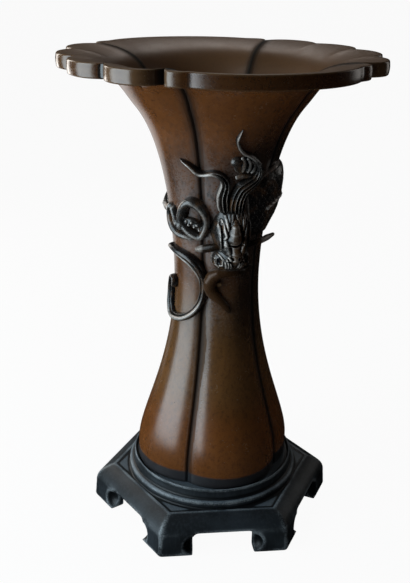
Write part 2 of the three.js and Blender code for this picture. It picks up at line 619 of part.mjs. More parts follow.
// Lower jaw: a broad lip, rounded on the left, turned out from the wall and running down into a beard.
// Its sides are given as angles and drops below the chin
const JAW_LEFT = [[-37, 5.5], [-38.5, 9.5], [-34.5, 13], [-26, 14.3], [-14, 17.2], [-5, 22.5]];
const JAW_RIGHT = [[22, -1.5], [19, 6], [11, 12.5], [3, 18], [-3.5, 23]];
const JAW_RIVET = [-19, -8.7];
function lowerJaw() {
  const steps = 10;
  const across = 8;
  const sideCurve = (places) => new THREE.CatmullRomCurve3(
    places.map(([angle, drop]) => new THREE.Vector3(angle, drop, 0)), false, 'centripetal');
  const leftSide = sideCurve(JAW_LEFT);
  const rightSide = sideCurve(JAW_RIGHT);
  const rings = [];
  for (let i = 0; i <= steps; i++) {
    const t = i / steps;
    const left = leftSide.getPointAt(t);
    const right = rightSide.getPointAt(t);
    const top = [];
    const base = [];
    for (let j = 0; j <= across; j++) {
      const s = j / across;
      const { x: angle, y: drop } = left.clone().lerp(right, s);
      const rise = JAW_BOW * (1 - t) ** 2 * Math.sin(Math.PI * s) - drop;
      const turnedOut = JAW_RELIEF * lerp(0.28, 1, (1 - t) ** 2) * lerp(0.3, 1, Math.sin(Math.PI * s) ** 0.5);
      const beside = Math.exp(-(((s - 0.46 - 0.1 * t) / 0.12) ** 2));
      const fold = JAW_FOLD * beside * Math.sin(Math.PI * Math.min(1, 1.1 * t));
      top.push(wallPoint(fromChin([angle, rise, Math.max(JAW_EDGE, turnedOut + JAW_EDGE - fold)])));
      base.unshift(wallPoint(fromChin([angle, rise, -SINK])));
    }
    rings.push([...top, ...base]);
  }
  return solid(loft(rings));
}

// Rivets: a domed head inside the wall and a shank through it into the ornament
const HEAD_RIVETS = [[HEAD_ANGLE, -9], [HEAD_ANGLE, -24]];
const at = ([angle, rise]) => ({ angle, z: CROWN_Z + rise });
const RIVETS = [
  { name: 'rivet_head_upper', ...at(HEAD_RIVETS[0]) },
  { name: 'rivet_head_lower', ...at(HEAD_RIVETS[1]) },
  { name: 'rivet_mane', ...at(MANE.places[3]) },
  { name: 'rivet_jaw', ...at(fromChin(JAW_RIVET)) },
  { name: 'rivet_back_right', ...at(BACK.places[4]) },
  { name: 'rivet_back_rear', ...at(BACK.places[5]) },
  { name: 'rivet_back_left', ...at(BACK.places[7]) },
];
const RIVET_SIDES = 10;
function atWall(geometry, { angle, z }, radius) {
  geometry.rotateZ(rad(angle));
  const { x, y } = polar(angle, radius, 0);
  return solid(geometry.translate(x, y, z));
}
const outerWall = ({ angle, z }) => crestRadius(z) * lobe(angle);
const innerWall = (rivet) => outerWall(rivet) - WALL * lobe(rivet.angle) * Math.hypot(1, crestSlope(rivet.z));
function rivet(place) {
  const inner = innerWall(place) - 3 * SEAM;
  const length = outerWall(place) - inner + SEAM + RIVET_BITE;
  const profile = [[0, -RIVET_HEAD_HEIGHT], [RIVET_HEAD_RADIUS * 0.65, -RIVET_HEAD_HEIGHT * 0.8],
    [RIVET_HEAD_RADIUS, 0], [SHANK_RADIUS, 0], [SHANK_RADIUS, length], [0, length]];
  const points = profile.map(([r, h]) => new THREE.Vector2(r, h));
  return atWall(new THREE.LatheGeometry(points, RIVET_SIDES).rotateX(Math.PI), place, inner);
}
function rivetHole(place) {
  const reach = outerWall(place) + SEAM + RIVET_BITE + RIVET_PLAY;
  const length = reach - innerWall(place) + WALL;
  const radius = SHANK_RADIUS + RIVET_PLAY;
  const hole = new THREE.CylinderGeometry(radius, radius, length, RIVET_SIDES);
  return atWall(hole, place, reach - length / 2);
}

// The vase with everything fixed to it turns and lifts as one
const vase = new THREE.Group();
vase.rotation.z = rad(VASE_TURN);
const fit = wallTool();
const holes = RIVETS.map(rivetHole);
function ornament(name, blank, ...tools) {
  vase.add(node(name, cut(blank, fit, ...holes, ...tools), ORNAMENT_BRONZE));
}

const headTool = head(SEAM);
const maneTool = strand(MANE, SEAM);
const ringTool = tailRing(SEAM);
const tieTool = tailTie(SEAM);
const scrollTool = strand(TAIL_SCROLL, SEAM);
const whiskerTools = [strand(WHISKER_LEFT, SEAM), strand(WHISKER_RIGHT, SEAM)];

vase.add(node('vase_body', cut(vaseBody(), ...holes), VASE_BRONZE));
vase.add(node('bottom_plate', bottomPlate(), VASE_BRONZE));
ornament('dragon_head', head(), ...whiskerTools);
ornament('dragon_lower_jaw', lowerJaw(), headTool, scrollTool);
ornament('whisker_left', strand(WHISKER_LEFT));
ornament('whisker_right', strand(WHISKER_RIGHT));
ornament('mane_broad_lock', strand(MANE), headTool);
ornament('mane_left_lock', strand(LEFT_LOCK), headTool, maneTool);
ornament('dragon_claw', claw(), maneTool);
ornament('dragon_back', strand(BACK), headTool, maneTool, ringTool, tieTool, whiskerTools[1]);
ornament('tail_ring', tailRing());
ornament('tail_tie', tailTie(), ringTool);
ornament('tail_scroll', strand(TAIL_SCROLL));
for (const place of RIVETS) vase.add(node(place.name, rivet(place), RIVET_BRONZE));

const object = new THREE.Group();
object.add(node('stand', stand(), STAND_BRONZE));
object.add(vase);

export default object;
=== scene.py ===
"""Bronze flower vase with an applied dragon, standing loose in a hexagonal bronze stand.

Sizes are millimetres, and meshes are written in metres.
Angles are degrees about +Z, 0 at -Y and rising towards +X.
"""
import math

import bmesh
import bpy
import numpy as np
from mathutils import Matrix, Vector


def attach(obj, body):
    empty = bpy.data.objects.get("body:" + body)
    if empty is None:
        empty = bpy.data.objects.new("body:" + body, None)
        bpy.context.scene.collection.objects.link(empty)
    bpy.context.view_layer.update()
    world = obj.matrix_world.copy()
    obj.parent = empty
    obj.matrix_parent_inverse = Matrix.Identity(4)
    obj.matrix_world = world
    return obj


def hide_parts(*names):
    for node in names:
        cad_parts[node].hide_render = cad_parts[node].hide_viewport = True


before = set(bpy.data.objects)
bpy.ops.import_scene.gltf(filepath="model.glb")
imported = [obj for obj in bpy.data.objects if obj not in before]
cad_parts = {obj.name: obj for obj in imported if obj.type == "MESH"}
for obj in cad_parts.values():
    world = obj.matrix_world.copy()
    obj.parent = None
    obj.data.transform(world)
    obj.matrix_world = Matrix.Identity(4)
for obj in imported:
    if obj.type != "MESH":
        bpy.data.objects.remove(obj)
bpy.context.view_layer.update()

MM = 0.001

# Fits
SEAM = 0.3
VASE_TURN = 15

# Stand
FOOT_REACH = 70.6
BULGE_SET = 0.9
BULGE_Z = 12
ARRIS_REACH = 58
ROLL_START = 32
ARRIS_Z = 21.9
APRON_EDGE_Z = 13.8
STAND_WALL = 9
SLAB_THICKNESS = 8
SEAT_Z = 30
LIP_Z = 32.3
LIP_WIDTH = 1.1
SEAT_PLAY = 1.1
MOUND_RADIUS = 49.3
MOUND_Z = 25.6
OPENING_WIDTH = 33
OPENING_CORNER = 2.5
SCOOP_RADIUS = 5.6
SCOOP_Z = 6.4

# Vase body
VASE_HEIGHT = 229.7
WALL = 4
FOOT_RADIUS = 44.2
FOOT_RISE = 10
FOOT_CURL = 18
WAIST_RADIUS = 23.6
WAIST_RISE = 112
WAIST_EASE_DOWN = 52
WAIST_EASE_UP = 8
SHOULDER_RADIUS = 44.2
SHOULDER_DROP = 26
SHOULDER_SLANT = 39
NECK_EASE = 30
FLARE_EASE = 16
FLARE_FLAT = 28
RIM_RADIUS = 82
RIM_BAND = 7
RIM_LAND = 1.2
GROOVE = 0.89
FRONT_HALF = 42.5
SHOULDER_LOBE = 10.5
SIDE_SCALLOPS = 4
RIM_GROOVE = 0.86
RIM_NOTCH = 0.918
RIM_SHORT = 0.955
RIM_STEP = 0.945
SCALLOP_POWER = 2.6
GROOVE_CUT = 0.8              # depth of the incised line along each groove
GROOVE_CUT_HALF = 1.1
CREASE_BREADTH = ((40, 85, 115, 150, 180, 235), (1.5, 1.5, 2.4, 1.7, 1.5, 3.2))    # dark deposit and painted shade, by height; broad under the tail's scroll, where it paints the scroll's shadow
CREASE_FRONT = (2.2, 1.3)     # how much broader it is on the front panel, below and above these heights
CREASE_FRONT_Z = (100, 128)
CREASE_MATT = 0.4             # share of crease darkening from which a face is matt
FOLD_BREADTH = 2.6            # dark deposit and painted shade along the folds inside
FOOT_EDGE = 0.7
FOOT_EASE = 0.2
LIP_EDGE = 0.9
LIP_SWELL = 0.25
PLATE_THICKNESS = 3
PLATE_RISE = 3
LEDGE = 1.4

# Dragon
HEAD_ANGLE = -6
HEAD_CROWN_Z = 186
HEAD_LENGTH = 32
HEAD_HALF = 10.6
HEAD_RELIEF = 7
WHISKER_WIDTH = 3.4
MANE_WIDTH = 9
MANE_RELIEF = 4.6
LOCK_WIDTH = 6.4
LOCK_RELIEF = 3.6
NECK_WIDTH = 34
NECK_RELIEF = 5.2
TAIL_WIDTH = 4
TAIL_RELIEF = 4
SCROLL_WIDTH = 4
SCROLL_RELIEF = 3.6
CLAW_TOE_WIDTH = 1.7
WRIST_WIDTH = 2.8
JAW_BOW = 5.2
SINK = 2.2                    # how deep the ornaments reach into the wall's thickness

VASE_Z = SEAT_Z + SEAM
RIM_Z = VASE_Z + VASE_HEIGHT
SIDE_HALF = 90 - FRONT_HALF
BULGE_REACH = FOOT_REACH - BULGE_SET
FLAT = math.cos(math.radians(30))    # middle of a hexagon's side, as a share of its corner radius


# Small helpers

def lerp(a, b, t):
    return a + (b - a) * t


def smoothstep(t, low, high):
    s = np.clip((t - low) / (high - low), 0, 1)
    return s * s * (3 - 2 * s)


def polar(angle, radius, z):
    turn = np.radians(angle)
    x, y, up = np.broadcast_arrays(radius * np.sin(turn), -radius * np.cos(turn), np.asarray(z, float))
    return np.stack([x, y, up], axis=-1)


def unit(vectors):
    return vectors / np.maximum(np.linalg.norm(vectors, axis=-1, keepdims=True), 1e-9)


def turned(points, angle):
    turn = math.radians(angle)
    c, s = math.cos(turn), math.sin(turn)
    return points @ np.array([[c, s, 0], [-s, c, 0], [0, 0, 1]])


def run_through(values, t):
    return np.interp(t, np.linspace(0, 1, len(values)), values)


def skin(rings, closed=False):
    """Vertices and faces through rings of equally many points."""
    rings = np.asarray(rings)
    count, width = rings.shape[:2]
    bands = count if closed else count - 1
    i, j = np.meshgrid(np.arange(bands), np.arange(width), indexing="ij")
    k, after = (j + 1) % width, (i + 1) % count
    quads = np.stack([i * width + j, i * width + k, after * width + k, after * width + j], axis=-1)
    points = rings.reshape(-1, 3)
    faces = quads.reshape(-1, 4).tolist()
    if not closed:
        for ring, order in ((0, -1), (count - 1, 1)):
            faces.append((ring * width + np.arange(width))[::order].tolist())
    return points, faces


def merged(shells):
    points, faces, start = [], [], 0
    for shell_points, shell_faces in shells:
        points.append(shell_points)
        faces.extend([[v + start for v in face] for face in shell_faces])
        start += len(shell_points)
    return np.concatenate(points), faces


def build_mesh(name, points, faces):
    mesh = bpy.data.meshes.new(name)
    mesh.from_pydata((np.asarray(points) * MM).tolist(), [], faces)
    mesh.update()
    bm_fix_normals(mesh)
    return mesh


def bm_fix_normals(mesh):
    bm = bmesh.new()
    bm.from_mesh(mesh)
    bmesh.ops.recalc_face_normals(bm, faces=bm.faces)
    bm.to_mesh(mesh)
    bm.free()


def vertex_vectors(mesh, field="co"):
    vectors = np.empty(len(mesh.vertices) * 3)
    mesh.vertices.foreach_get(field, vectors)
    return vectors.reshape(-1, 3)


def set_points(mesh, points):
    mesh.vertices.foreach_set("co", points.ravel())
    mesh.update()


def edge_pairs(mesh):
    pairs = np.empty(len(mesh.edges) * 2, dtype=np.int64)
    mesh.edges.foreach_get("vertices", pairs)
    return pairs.reshape(-1, 2)


def neighbour_mean(points, pairs, degree):
    total = np.empty_like(points)
    for axis in range(points.shape[1]):
        column = points[:, axis]
        total[:, axis] = (np.bincount(pairs[:, 0], column[pairs[:, 1]], len(points))
                          + np.bincount(pairs[:, 1], column[pairs[:, 0]], len(points)))
    return total / np.maximum(degree, 1)[:, None]


def smoothed(mesh, points, rounds, strength=0.5):
    pairs = edge_pairs(mesh)
    degree = np.bincount(pairs.ravel(), minlength=len(points))
    for _ in range(rounds):
        points = lerp(points, neighbour_mean(points, pairs, degree), strength)
    return points


def add_attribute(mesh, name, values):
    attribute = mesh.attributes.new(name, "FLOAT", "POINT")
    attribute.data.foreach_set("value", np.asarray(values, dtype=np.float32))


RELIEF_ROUNDS = 60


def add_relief(mesh, reach, height, rub=1.0):
    """Attribute relief: 0.5 on even ground, up to 1 on rubbed ridges and down to 0 in recesses.

    Reach is how far round a point the ground is taken, and height what counts as fully proud of it.
    """
    points = vertex_vectors(mesh)
    normals = vertex_vectors(mesh, "normal")
    lengths = np.linalg.norm(np.diff(points[edge_pairs(mesh)], axis=1)[:, 0], axis=1)
    rounds = max(2, int((reach * MM / np.median(lengths)) ** 2))
    flat = smoothed(mesh, points, min(rounds, RELIEF_ROUNDS), 0.6)
    proud = ((points - flat) * normals).sum(axis=1) / (height * MM)
    add_attribute(mesh, "relief", 0.5 + 0.5 * np.where(proud > 0, rub, 1) * np.clip(proud, -1, 1))


def linked(name, data):
    obj = bpy.data.objects.new(name, data)
    bpy.context.scene.collection.objects.link(obj)
    return obj


def piece(name, mesh, body, slot, material, *replaced):
    """Visible piece on a body. Without a material it keeps its mesh's own."""
    obj = linked(name, mesh)
    if material is not None:
        mesh.materials.clear()
        mesh.materials.append(material)
    mesh.polygons.foreach_set("use_smooth", np.ones(len(mesh.polygons), dtype=bool))
    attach(obj, body)
    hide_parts(*replaced)


def remeshed(name, points, faces, voxel, cutters=()):
    """One closed skin over joined shells, after cutting."""
    obj = linked(name + "_blank", build_mesh(name + "_blank", points, faces))
    tools = []
    for number, (tool_points, tool_faces) in enumerate(cutters):
        tool_name = f"{name}_tool_{number}"
        tool = linked(tool_name, build_mesh(tool_name, tool_points, tool_faces))
        tools.append(tool)
        cut = obj.modifiers.new(tool.name, "BOOLEAN")
        cut.operation = "DIFFERENCE"
        cut.solver = "EXACT"
        cut.object = tool
    skin_over = obj.modifiers.new("skin", "REMESH")
    skin_over.mode = "VOXEL"
    skin_over.voxel_size = voxel * MM
    graph = bpy.context.evaluated_depsgraph_get()
    result = bpy.data.meshes.new_from_object(obj.evaluated_get(graph))
    result.name = name
    for used in (obj, *tools):
        used_mesh = used.data
        bpy.data.objects.remove(used)
        bpy.data.meshes.remove(used_mesh)
    return result


# Section and profile of the vase

def lobe(angle):
    turn = np.mod(angle, 180)
    front = (turn < FRONT_HALF) | (turn > 180 - FRONT_HALF)
    centre = np.where(front, np.where(turn < 90, 0, 180), 90)
    half = np.where(front, FRONT_HALF, SIDE_HALF)
    offset = (1 - GROOVE ** 2) / (2 * (1 - GROOVE * np.cos(np.radians(half))))
    phi = np.radians(turn - centre)
    return offset * np.cos(phi) + np.sqrt((1 - offset) ** 2 - (offset * np.sin(phi)) ** 2)


def groove_distance(angle):
    turn = np.mod(angle, 180)
    return np.minimum(np.abs(turn - FRONT_HALF), np.abs(turn - 180 + FRONT_HALF))


def scallops():
    side = 2 * SIDE_HALF / SIDE_SCALLOPS
    rows = [
        (SHOULDER_LOBE, RIM_SHORT, RIM_GROOVE, RIM_STEP),
        (2 * (FRONT_HALF - SHOULDER_LOBE), 1, RIM_STEP, RIM_STEP),
        (SHOULDER_LOBE, RIM_SHORT, RIM_STEP, RIM_GROOVE),
    ]
    for i in range(SIDE_SCALLOPS):
        first = RIM_GROOVE if i == 0 else RIM_NOTCH
        last = RIM_GROOVE if i == SIDE_SCALLOPS - 1 else RIM_NOTCH
        rows.append((side, 1, first, last))
    return rows


STEPS_PER_DEGREE = 1.2        # on each scallop
LEAST_STEPS = 18
CROWDING = 1.6


def section_stations():
    """Angles once round the vase, crowded at the grooves, with the rim's outline there."""
    angles, rims = [], []
    for start in (-FRONT_HALF, 180 - FRONT_HALF):
        for width, peak, first, last in scallops():
            steps = max(LEAST_STEPS, round(width * STEPS_PER_DEGREE))
            share = np.arange(steps) / steps
            if first == RIM_GROOVE:
                share = share ** CROWDING
            if last == RIM_GROOVE:
                share = 1 - (1 - share) ** CROWDING
            notch = lerp(first, last, share)
            angles.append(start + share * width)
            rims.append(notch + (peak - notch) * (1 - np.abs(2 * share - 1) ** SCALLOP_POWER))
            start += width
    return np.concatenate(angles), np.concatenate(rims)


def bezier(points, t):
    a, b, c, d = (np.asarray(p, float) for p in points)
    t = np.asarray(t, float)[:, None]
    place = a * (1 - t) ** 3 + 3 * b * t * (1 - t) ** 2 + 3 * c * t * t * (1 - t) + d * t ** 3
    ahead = (b - a) * (1 - t) ** 2 + 2 * (c - b) * t * (1 - t) + (d - c) * t * t
    return place, unit(ahead)


SLANT = np.array([math.sin(math.radians(SHOULDER_SLANT)), math.cos(math.radians(SHOULDER_SLANT))])
UPRIGHT = np.array([0, 1])
FOOT_TOP = np.array([FOOT_RADIUS, VASE_Z + FOOT_RISE])
WAIST = np.array([WAIST_RADIUS, VASE_Z + WAIST_RISE])
SHOULDER = np.array([SHOULDER_RADIUS, RIM_Z - SHOULDER_DROP])
LIP_FOOT = np.array([RIM_RADIUS, RIM_Z - RIM_BAND])
LOWER = (FOOT_TOP, FOOT_TOP + FOOT_CURL * UPRIGHT, WAIST - WAIST_EASE_DOWN * UPRIGHT, WAIST)
NECK = (WAIST, WAIST + WAIST_EASE_UP * UPRIGHT, SHOULDER - NECK_EASE * SLANT, SHOULDER)
FLARE = (SHOULDER, SHOULDER + FLARE_EASE * SLANT, LIP_FOOT - np.array([FLARE_FLAT, 0]), LIP_FOOT)


def wall_profile(steps):
    """Crest line outside and inside the wall, from the foot to the lip, with the rim's share along it."""
    outer, inner, rim = [], [], []
    for curve, count in ((LOWER, steps[0]), (NECK, steps[1]), (FLARE, steps[2])):
        t = np.arange(count) / count
        place, ahead = bezier(curve, t)
        outer.append(place)
        thickness = lerp(WALL, RIM_BAND, t ** 2) if curve is FLARE else np.full(count, WALL)
        inner.append(place + thickness[:, None] * np.stack([-ahead[:, 1], ahead[:, 0]], axis=1))
        rim.append(t if curve is FLARE else np.zeros(count))
    return np.concatenate(outer), np.concatenate(inner), np.concatenate(rim)


CREST_LINE = np.vstack([wall_profile((80, 80, 60))[0], LIP_FOOT])


def crest_radius(z):
    return np.interp(z, CREST_LINE[:, 1], CREST_LINE[:, 0])


def crest_slope(z, step=2):
    return (crest_radius(z + step) - crest_radius(z - step)) / (2 * step)


def vase_mesh():
    angles, rims = section_stations()
    lobes = lobe(angles)
    away = np.radians(groove_distance(angles))

    def ring(crest, z, rim=0.0, cut=0.0):
        radius = crest * lerp(lobes, rims, rim)
        line = np.clip(1 - away * radius / GROOVE_CUT_HALF, 0, 1) ** 1.2
        return polar(angles, radius - cut * line, z)

    outer, inner, along_flare = wall_profile((54, 64, 44))
    ledge_z = VASE_Z + PLATE_RISE + PLATE_THICKNESS + SEAM
    inner_foot = FOOT_RADIUS - WALL
    rings = [ring(FOOT_RADIUS - FOOT_EDGE, VASE_Z), ring(FOOT_RADIUS - FOOT_EASE, VASE_Z + FOOT_EASE)]
    for rise in np.linspace(FOOT_EDGE, FOOT_RISE, 8, endpoint=False):
        rings.append(ring(FOOT_RADIUS, VASE_Z + rise, 0, GROOVE_CUT))
    for (crest, z), rim in zip(outer, smoothstep(along_flare, 0.25, 1)):
        rings.append(ring(crest, z, rim, GROOVE_CUT * (1 - rim)))
    # Thick lip: lower edge, gently rounded band, upper edge and the slope inside it
    corner = [(1 - math.sin(turn), 1 - math.cos(turn)) for turn in np.radians(np.linspace(0, 90, 5))]
    for inset, rise in corner:
        rings.append(ring(RIM_RADIUS - LIP_EDGE * inset, LIP_FOOT[1] + LIP_EDGE * rise, 1))
    for share_up in np.linspace(0, 1, 6)[1:-1]:
        swell = LIP_SWELL * math.sin(math.pi * share_up)
        rings.append(ring(RIM_RADIUS + swell, lerp(LIP_FOOT[1] + LIP_EDGE, RIM_Z - LIP_EDGE, share_up), 1))
    for drop, inset in corner:
        rings.append(ring(RIM_RADIUS - LIP_EDGE * inset, RIM_Z - LIP_EDGE * drop, 1))
    outside = len(rings)
    for (crest, z), rim in list(zip(inner, smoothstep(along_flare, 0.6, 1)))[::-1]:
        if crest < RIM_RADIUS - RIM_LAND - LIP_EDGE:
            rings.append(ring(crest, z, rim))
    rings += [ring(inner_foot, ledge_z), ring(inner_foot + LEDGE, ledge_z), ring(inner_foot + LEDGE, VASE_Z)]
    points, faces = skin(rings, closed=True)
    mesh = build_mesh("vase_body_cast", turned(points, VASE_TURN), faces)
    inside = np.repeat(np.arange(len(rings)) >= outside - 2, len(angles))
    add_attribute(mesh, "inside", inside)
    z = points[:, 2]
    distance = np.tile(away, len(rings)) * np.hypot(points[:, 0], points[:, 1])
    around = np.mod(np.tile(angles, len(rings)) + 180, 360) - 180
    breadth = np.where(inside, FOLD_BREADTH, np.interp(z, *CREASE_BREADTH))
    broader = lerp(*CREASE_FRONT, smoothstep(z, *CREASE_FRONT_Z))
    crease = np.exp(-(distance / (breadth * np.where(np.abs(around) < FRONT_HALF, broader, 1))) ** 2)
    add_attribute(mesh, "crease", crease)
    add_attribute(mesh, "soil", soil(around, z) * ~inside)
    add_attribute(mesh, "shade", shade(around, z) * ~inside)
    add_attribute(mesh, "lip", smoothstep(z, LIP_FOOT[1] - 0.6, LIP_FOOT[1] + 0.4) * ~inside)
    add_relief(mesh, reach=2.2, height=0.28)
    # Materials of one kind that differ in gloss: wall, grooves and inside
    for name, gloss in (("chestnut_patina", 0.9), ("groove_deposit_and_shade", 0.2), ("inner_patina", 0.45)):
        mesh.materials.append(vase_material("vase_" + name, gloss))
    slots = np.where(inside[faces].all(axis=1), 2, 0)
    slots[crease[faces].min(axis=1) > CREASE_MATT] = 1
    mesh.polygons.foreach_set("material_index", slots.tolist())
    return mesh


# Soft spots on the wall: angle and height of the middle, and their reach in angle and height
SOIL_ROUND_DRAGON = (-30, 182, 48, 30)
SOIL_BELOW_TAIL = (-24, 128, 22, 10)
SHADE_AT_CLAW = (-10, 205, 9, 8)
SHADE_ANGLES = ((-16, 14), (120, 70))    # where the shade comes in and goes out
SHADE_HEIGHTS = ((96, 136), (238, 212))
BROWN_AT_PALM = (-5, 210.5, 2.6, 3.2)


def spot(angle, z, middle, height, breadth, reach):
    return np.exp(-((angle - middle) / breadth) ** 2 - ((z - height) / reach) ** 2)


def soil(angle, z):
    """Dull deposit on the wall round the dragon and below the tail."""
    return np.clip(1.25 * spot(angle, z, *SOIL_ROUND_DRAGON) + 0.5 * spot(angle, z, *SOIL_BELOW_TAIL), 0, 1)


def shade(angle, z):
    """Painted shade on the wall's right side, behind the dragon's head and mane, and beside the claw; partly
    darker patina.
    """
    side = 1.0
    for angles, heights in zip(SHADE_ANGLES, SHADE_HEIGHTS):
        side = side * smoothstep(angle, *angles) * smoothstep(z, *heights)
    return np.clip(side + 0.7 * spot(angle, z, *SHADE_AT_CLAW), 0, 1)


# Ornaments laid on the wall

def wall_point(angle, z, lift=0.0):
    """Point on the wall, or off it. The ornaments follow the lobes by half."""
    even = lerp(lobe(angle), 1, 0.5)
    return polar(angle, crest_radius(z) * even + lift, z)


def wall_points(places):
    rows = np.array([(*p, 0.0)[:3] for p in places], float)
    return wall_point(rows[:, 0], rows[:, 1], rows[:, 2])


def wall_normal(points):
    out = unit(np.stack([points[:, 0], points[:, 1], np.zeros(len(points))], axis=1))
    out[:, 2] = -crest_slope(points[:, 2])
    return unit(out)


def smooth_path(points, count, looped=False):
    """Evenly spaced points and directions on a centripetal curve through chosen points."""
    points = np.asarray(points, float)
    if looped:
        points = np.vstack([points[-1], points, points[0], points[1]])
    else:
        points = np.vstack([2 * points[0] - points[1], points, 2 * points[-1] - points[-2]])
    fine = []
    share = np.linspace(0, 1, 24, endpoint=False)[:, None]
    for a, b, c, d in zip(points, points[1:], points[2:], points[3:]):
        spans = [max(np.linalg.norm(q - p), 1e-6) ** 0.5 for p, q in ((a, b), (b, c), (c, d))]
        knots = np.cumsum([0] + spans)
        t = knots[1] + share * (knots[2] - knots[1])

        def between(p, q, i, j):
            return p + (q - p) * (t - knots[i]) / (knots[j] - knots[i])

        ab, bc, cd = between(a, b, 0, 1), between(b, c, 1, 2), between(c, d, 2, 3)
        fine.append(between(between(ab, bc, 0, 2), between(bc, cd, 1, 3), 1, 2))
    fine = np.vstack(fine + [points[-2][None]])
    length = np.concatenate([[0], np.cumsum(np.linalg.norm(np.diff(fine, axis=0), axis=1))])
    stops = np.linspace(0, length[-1], count, endpoint=not looped)
    placed = np.stack([np.interp(stops, length, fine[:, axis]) for axis in range(3)], axis=1)
    if looped:
        ahead = np.roll(placed, -1, axis=0) - np.roll(placed, 1, axis=0)
    else:
        ahead = np.gradient(placed, axis=0)
    return placed, unit(ahead), length[-1]


def wall_frame(points, count, looped=False):
    """Points on a smooth path, their directions ahead, aside and out of the wall, and its length."""
    placed, ahead, length = smooth_path(points, count, looped)
    side = unit(np.cross(ahead, wall_normal(placed)))
    return placed, ahead, side, np.cross(side, ahead), length


def bearing(points):
    return np.degrees(np.arctan2(points[:, 0], -points[:, 1]))


HAIR_DEPTH = 0.5
FURROW = 0.2                  # relief of unrubbed hair
THICK_STRAND = (-0.25, 0.75)  # the tail's two strands: middle and half width across it
THIN_STRAND = (0.72, 0.28)


def comb_wave(across, ridges):
    return 1 - np.abs(np.cos(np.pi * ridges * (across + 1) / 2))


def hair(ridges):
    """Cross-section of combed hair: narrow ridges with rounded furrows."""
    def height(across):
        wave = comb_wave(across, ridges) ** 0.85
        ridge = 1 - HAIR_DEPTH + HAIR_DEPTH * wave
        return (1 - 0.3 * across ** 2) * ridge * (1 - np.abs(across) ** 9 * 0.75)
    return height


def upper_side(values):
    """Values for a strand's rings, with 0 for its underside."""
    return np.concatenate([values, np.zeros(values.shape)], axis=1).ravel()


def hair_relief(ridges, widths, along, across, rub, rim):
    """Attribute relief of combed hair, rubbed on its ridges, with a painted highlight along its left edge."""
    b = np.linspace(-1, 1, across)
    crests = lerp((1 - b ** 2) ** 0.5, comb_wave(b, ridges) ** 1.4, strand_comb(widths, along)[:, None])
    rubbed = np.maximum(crests, rim * smoothstep(b, -0.2, -0.45)) * (1 - b ** 14)
    return upper_side(FURROW + rub * rubbed)


def bow(across, centre, half):
    return np.sqrt(np.maximum(0, 1 - ((across - centre) / half) ** 2))


def tail_section(across):
    """Cross-section of the tail: a thick strand with a thin one along its inner side."""
    strands = np.maximum(bow(across, *THICK_STRAND) ** 0.8, 0.62 * bow(across, *THIN_STRAND) ** 0.8)
    return np.maximum(0.1, strands)


def tail_relief(along, across):
    """Attribute relief of the tail, rubbed in places."""
    t = np.linspace(0, 1, along)[:, None]
    b = np.linspace(-1, 1, across)
    thick = bow(b, *THICK_STRAND) ** 1.5 * np.interp(t, *TAIL_RUB_THICK)
    thin = 0.9 * bow(b, *THIN_STRAND) * np.interp(t, *TAIL_RUB_THIN)
    return upper_side(FURROW + 0.72 * np.maximum(thick, thin))


def strand_comb(widths, along):
    """Share of the ridged section along a strand, which is plainly round where it is narrow."""
    return smoothstep(run_through(widths, np.linspace(0, 1, along)), 0.3, 0.6)


def round_back(across):
    return np.maximum(0.12, np.sqrt(np.maximum(0, 1 - across ** 2)) ** 0.8)


def laid(points, side, out, b, half, rise):
    """Rings along a path: the upper side, which rises off the wall, and the underside, sunk into it."""
    shift = np.concatenate([b, b[::-1]]) * half[:, None]
    lift = np.concatenate([rise, np.full(rise.shape, -SINK)], axis=1)
    return points[:, None] + shift[..., None] * side[:, None] + lift[..., None] * out[:, None]


def strand(places, section, size, widths, reliefs, along, across=25, looped=False):
    """Shell of a strand laid along wall places."""
    points, _, side, out, length = wall_frame(wall_points(places), along, looped)
    width, relief = size
    t = np.linspace(0, 1, along)
    half = width / 2 * run_through(widths, t)
    high = relief * run_through(reliefs, t)
    if not looped:
        end = np.clip(np.minimum(t, 1 - t) * length / (width / 2), 0.05, 1)
        taper = np.sqrt(1 - (1 - end) ** 2)
        half, high = half * taper, high * taper
    b = np.linspace(-1, 1, across)
    top = lerp(round_back(b), section(b), strand_comb(widths, along)[:, None])
    return skin(laid(points, side, out, b, half, top * high[:, None]), closed=looped)


ROD_END = 0.12                # share of a rod's length in which both its ends are rounded


def tube(points, radii, along=40, around=16):
    """Shell of a round rod with rounded ends."""
    placed, _, side, rise, _ = wall_frame(points, along)
    t = np.linspace(0, 1, along)
    past = 2 * np.clip(np.abs(t - 0.5), 0.5 - ROD_END / 2, 0.5) - (1 - ROD_END)
    radius = run_through(radii, t) * np.sqrt(np.clip(1 - past ** 2 / ROD_END ** 2, 0.02, 1))
    turn = np.linspace(0, 2 * np.pi, around, endpoint=False)[:, None, None]
    ring = np.cos(turn) * side + np.sin(turn) * rise
    return skin((placed + ring * radius[:, None]).transpose(1, 0, 2))


def blob(centre, axes, sizes):
    """Shell of a rounded lump with half sizes along three directions."""
    lat, lon = np.radians(np.meshgrid(np.linspace(-84, 84, 12), np.arange(0, 360, 18), indexing="ij"))
    ball = np.stack([np.cos(lat) * np.cos(lon), np.cos(lat) * np.sin(lon), np.sin(lat)], axis=-1)
    return skin(np.asarray(centre) + (ball * np.asarray(sizes)) @ np.asarray(axes))


def wall_blob(place, sizes):
    """Lump on the wall, with half sizes across, out of and along it."""
    angle, z, lift = place
    out = wall_normal(wall_point(np.array([angle]), np.array([z])))[0]
    across = polar(angle + 90, 1.0, 0.0)
    return blob(wall_point(angle, z, lift), [across, out, np.cross(across, out)], sizes)


# Places along the ornaments: angle on the vase, height, lift off the wall

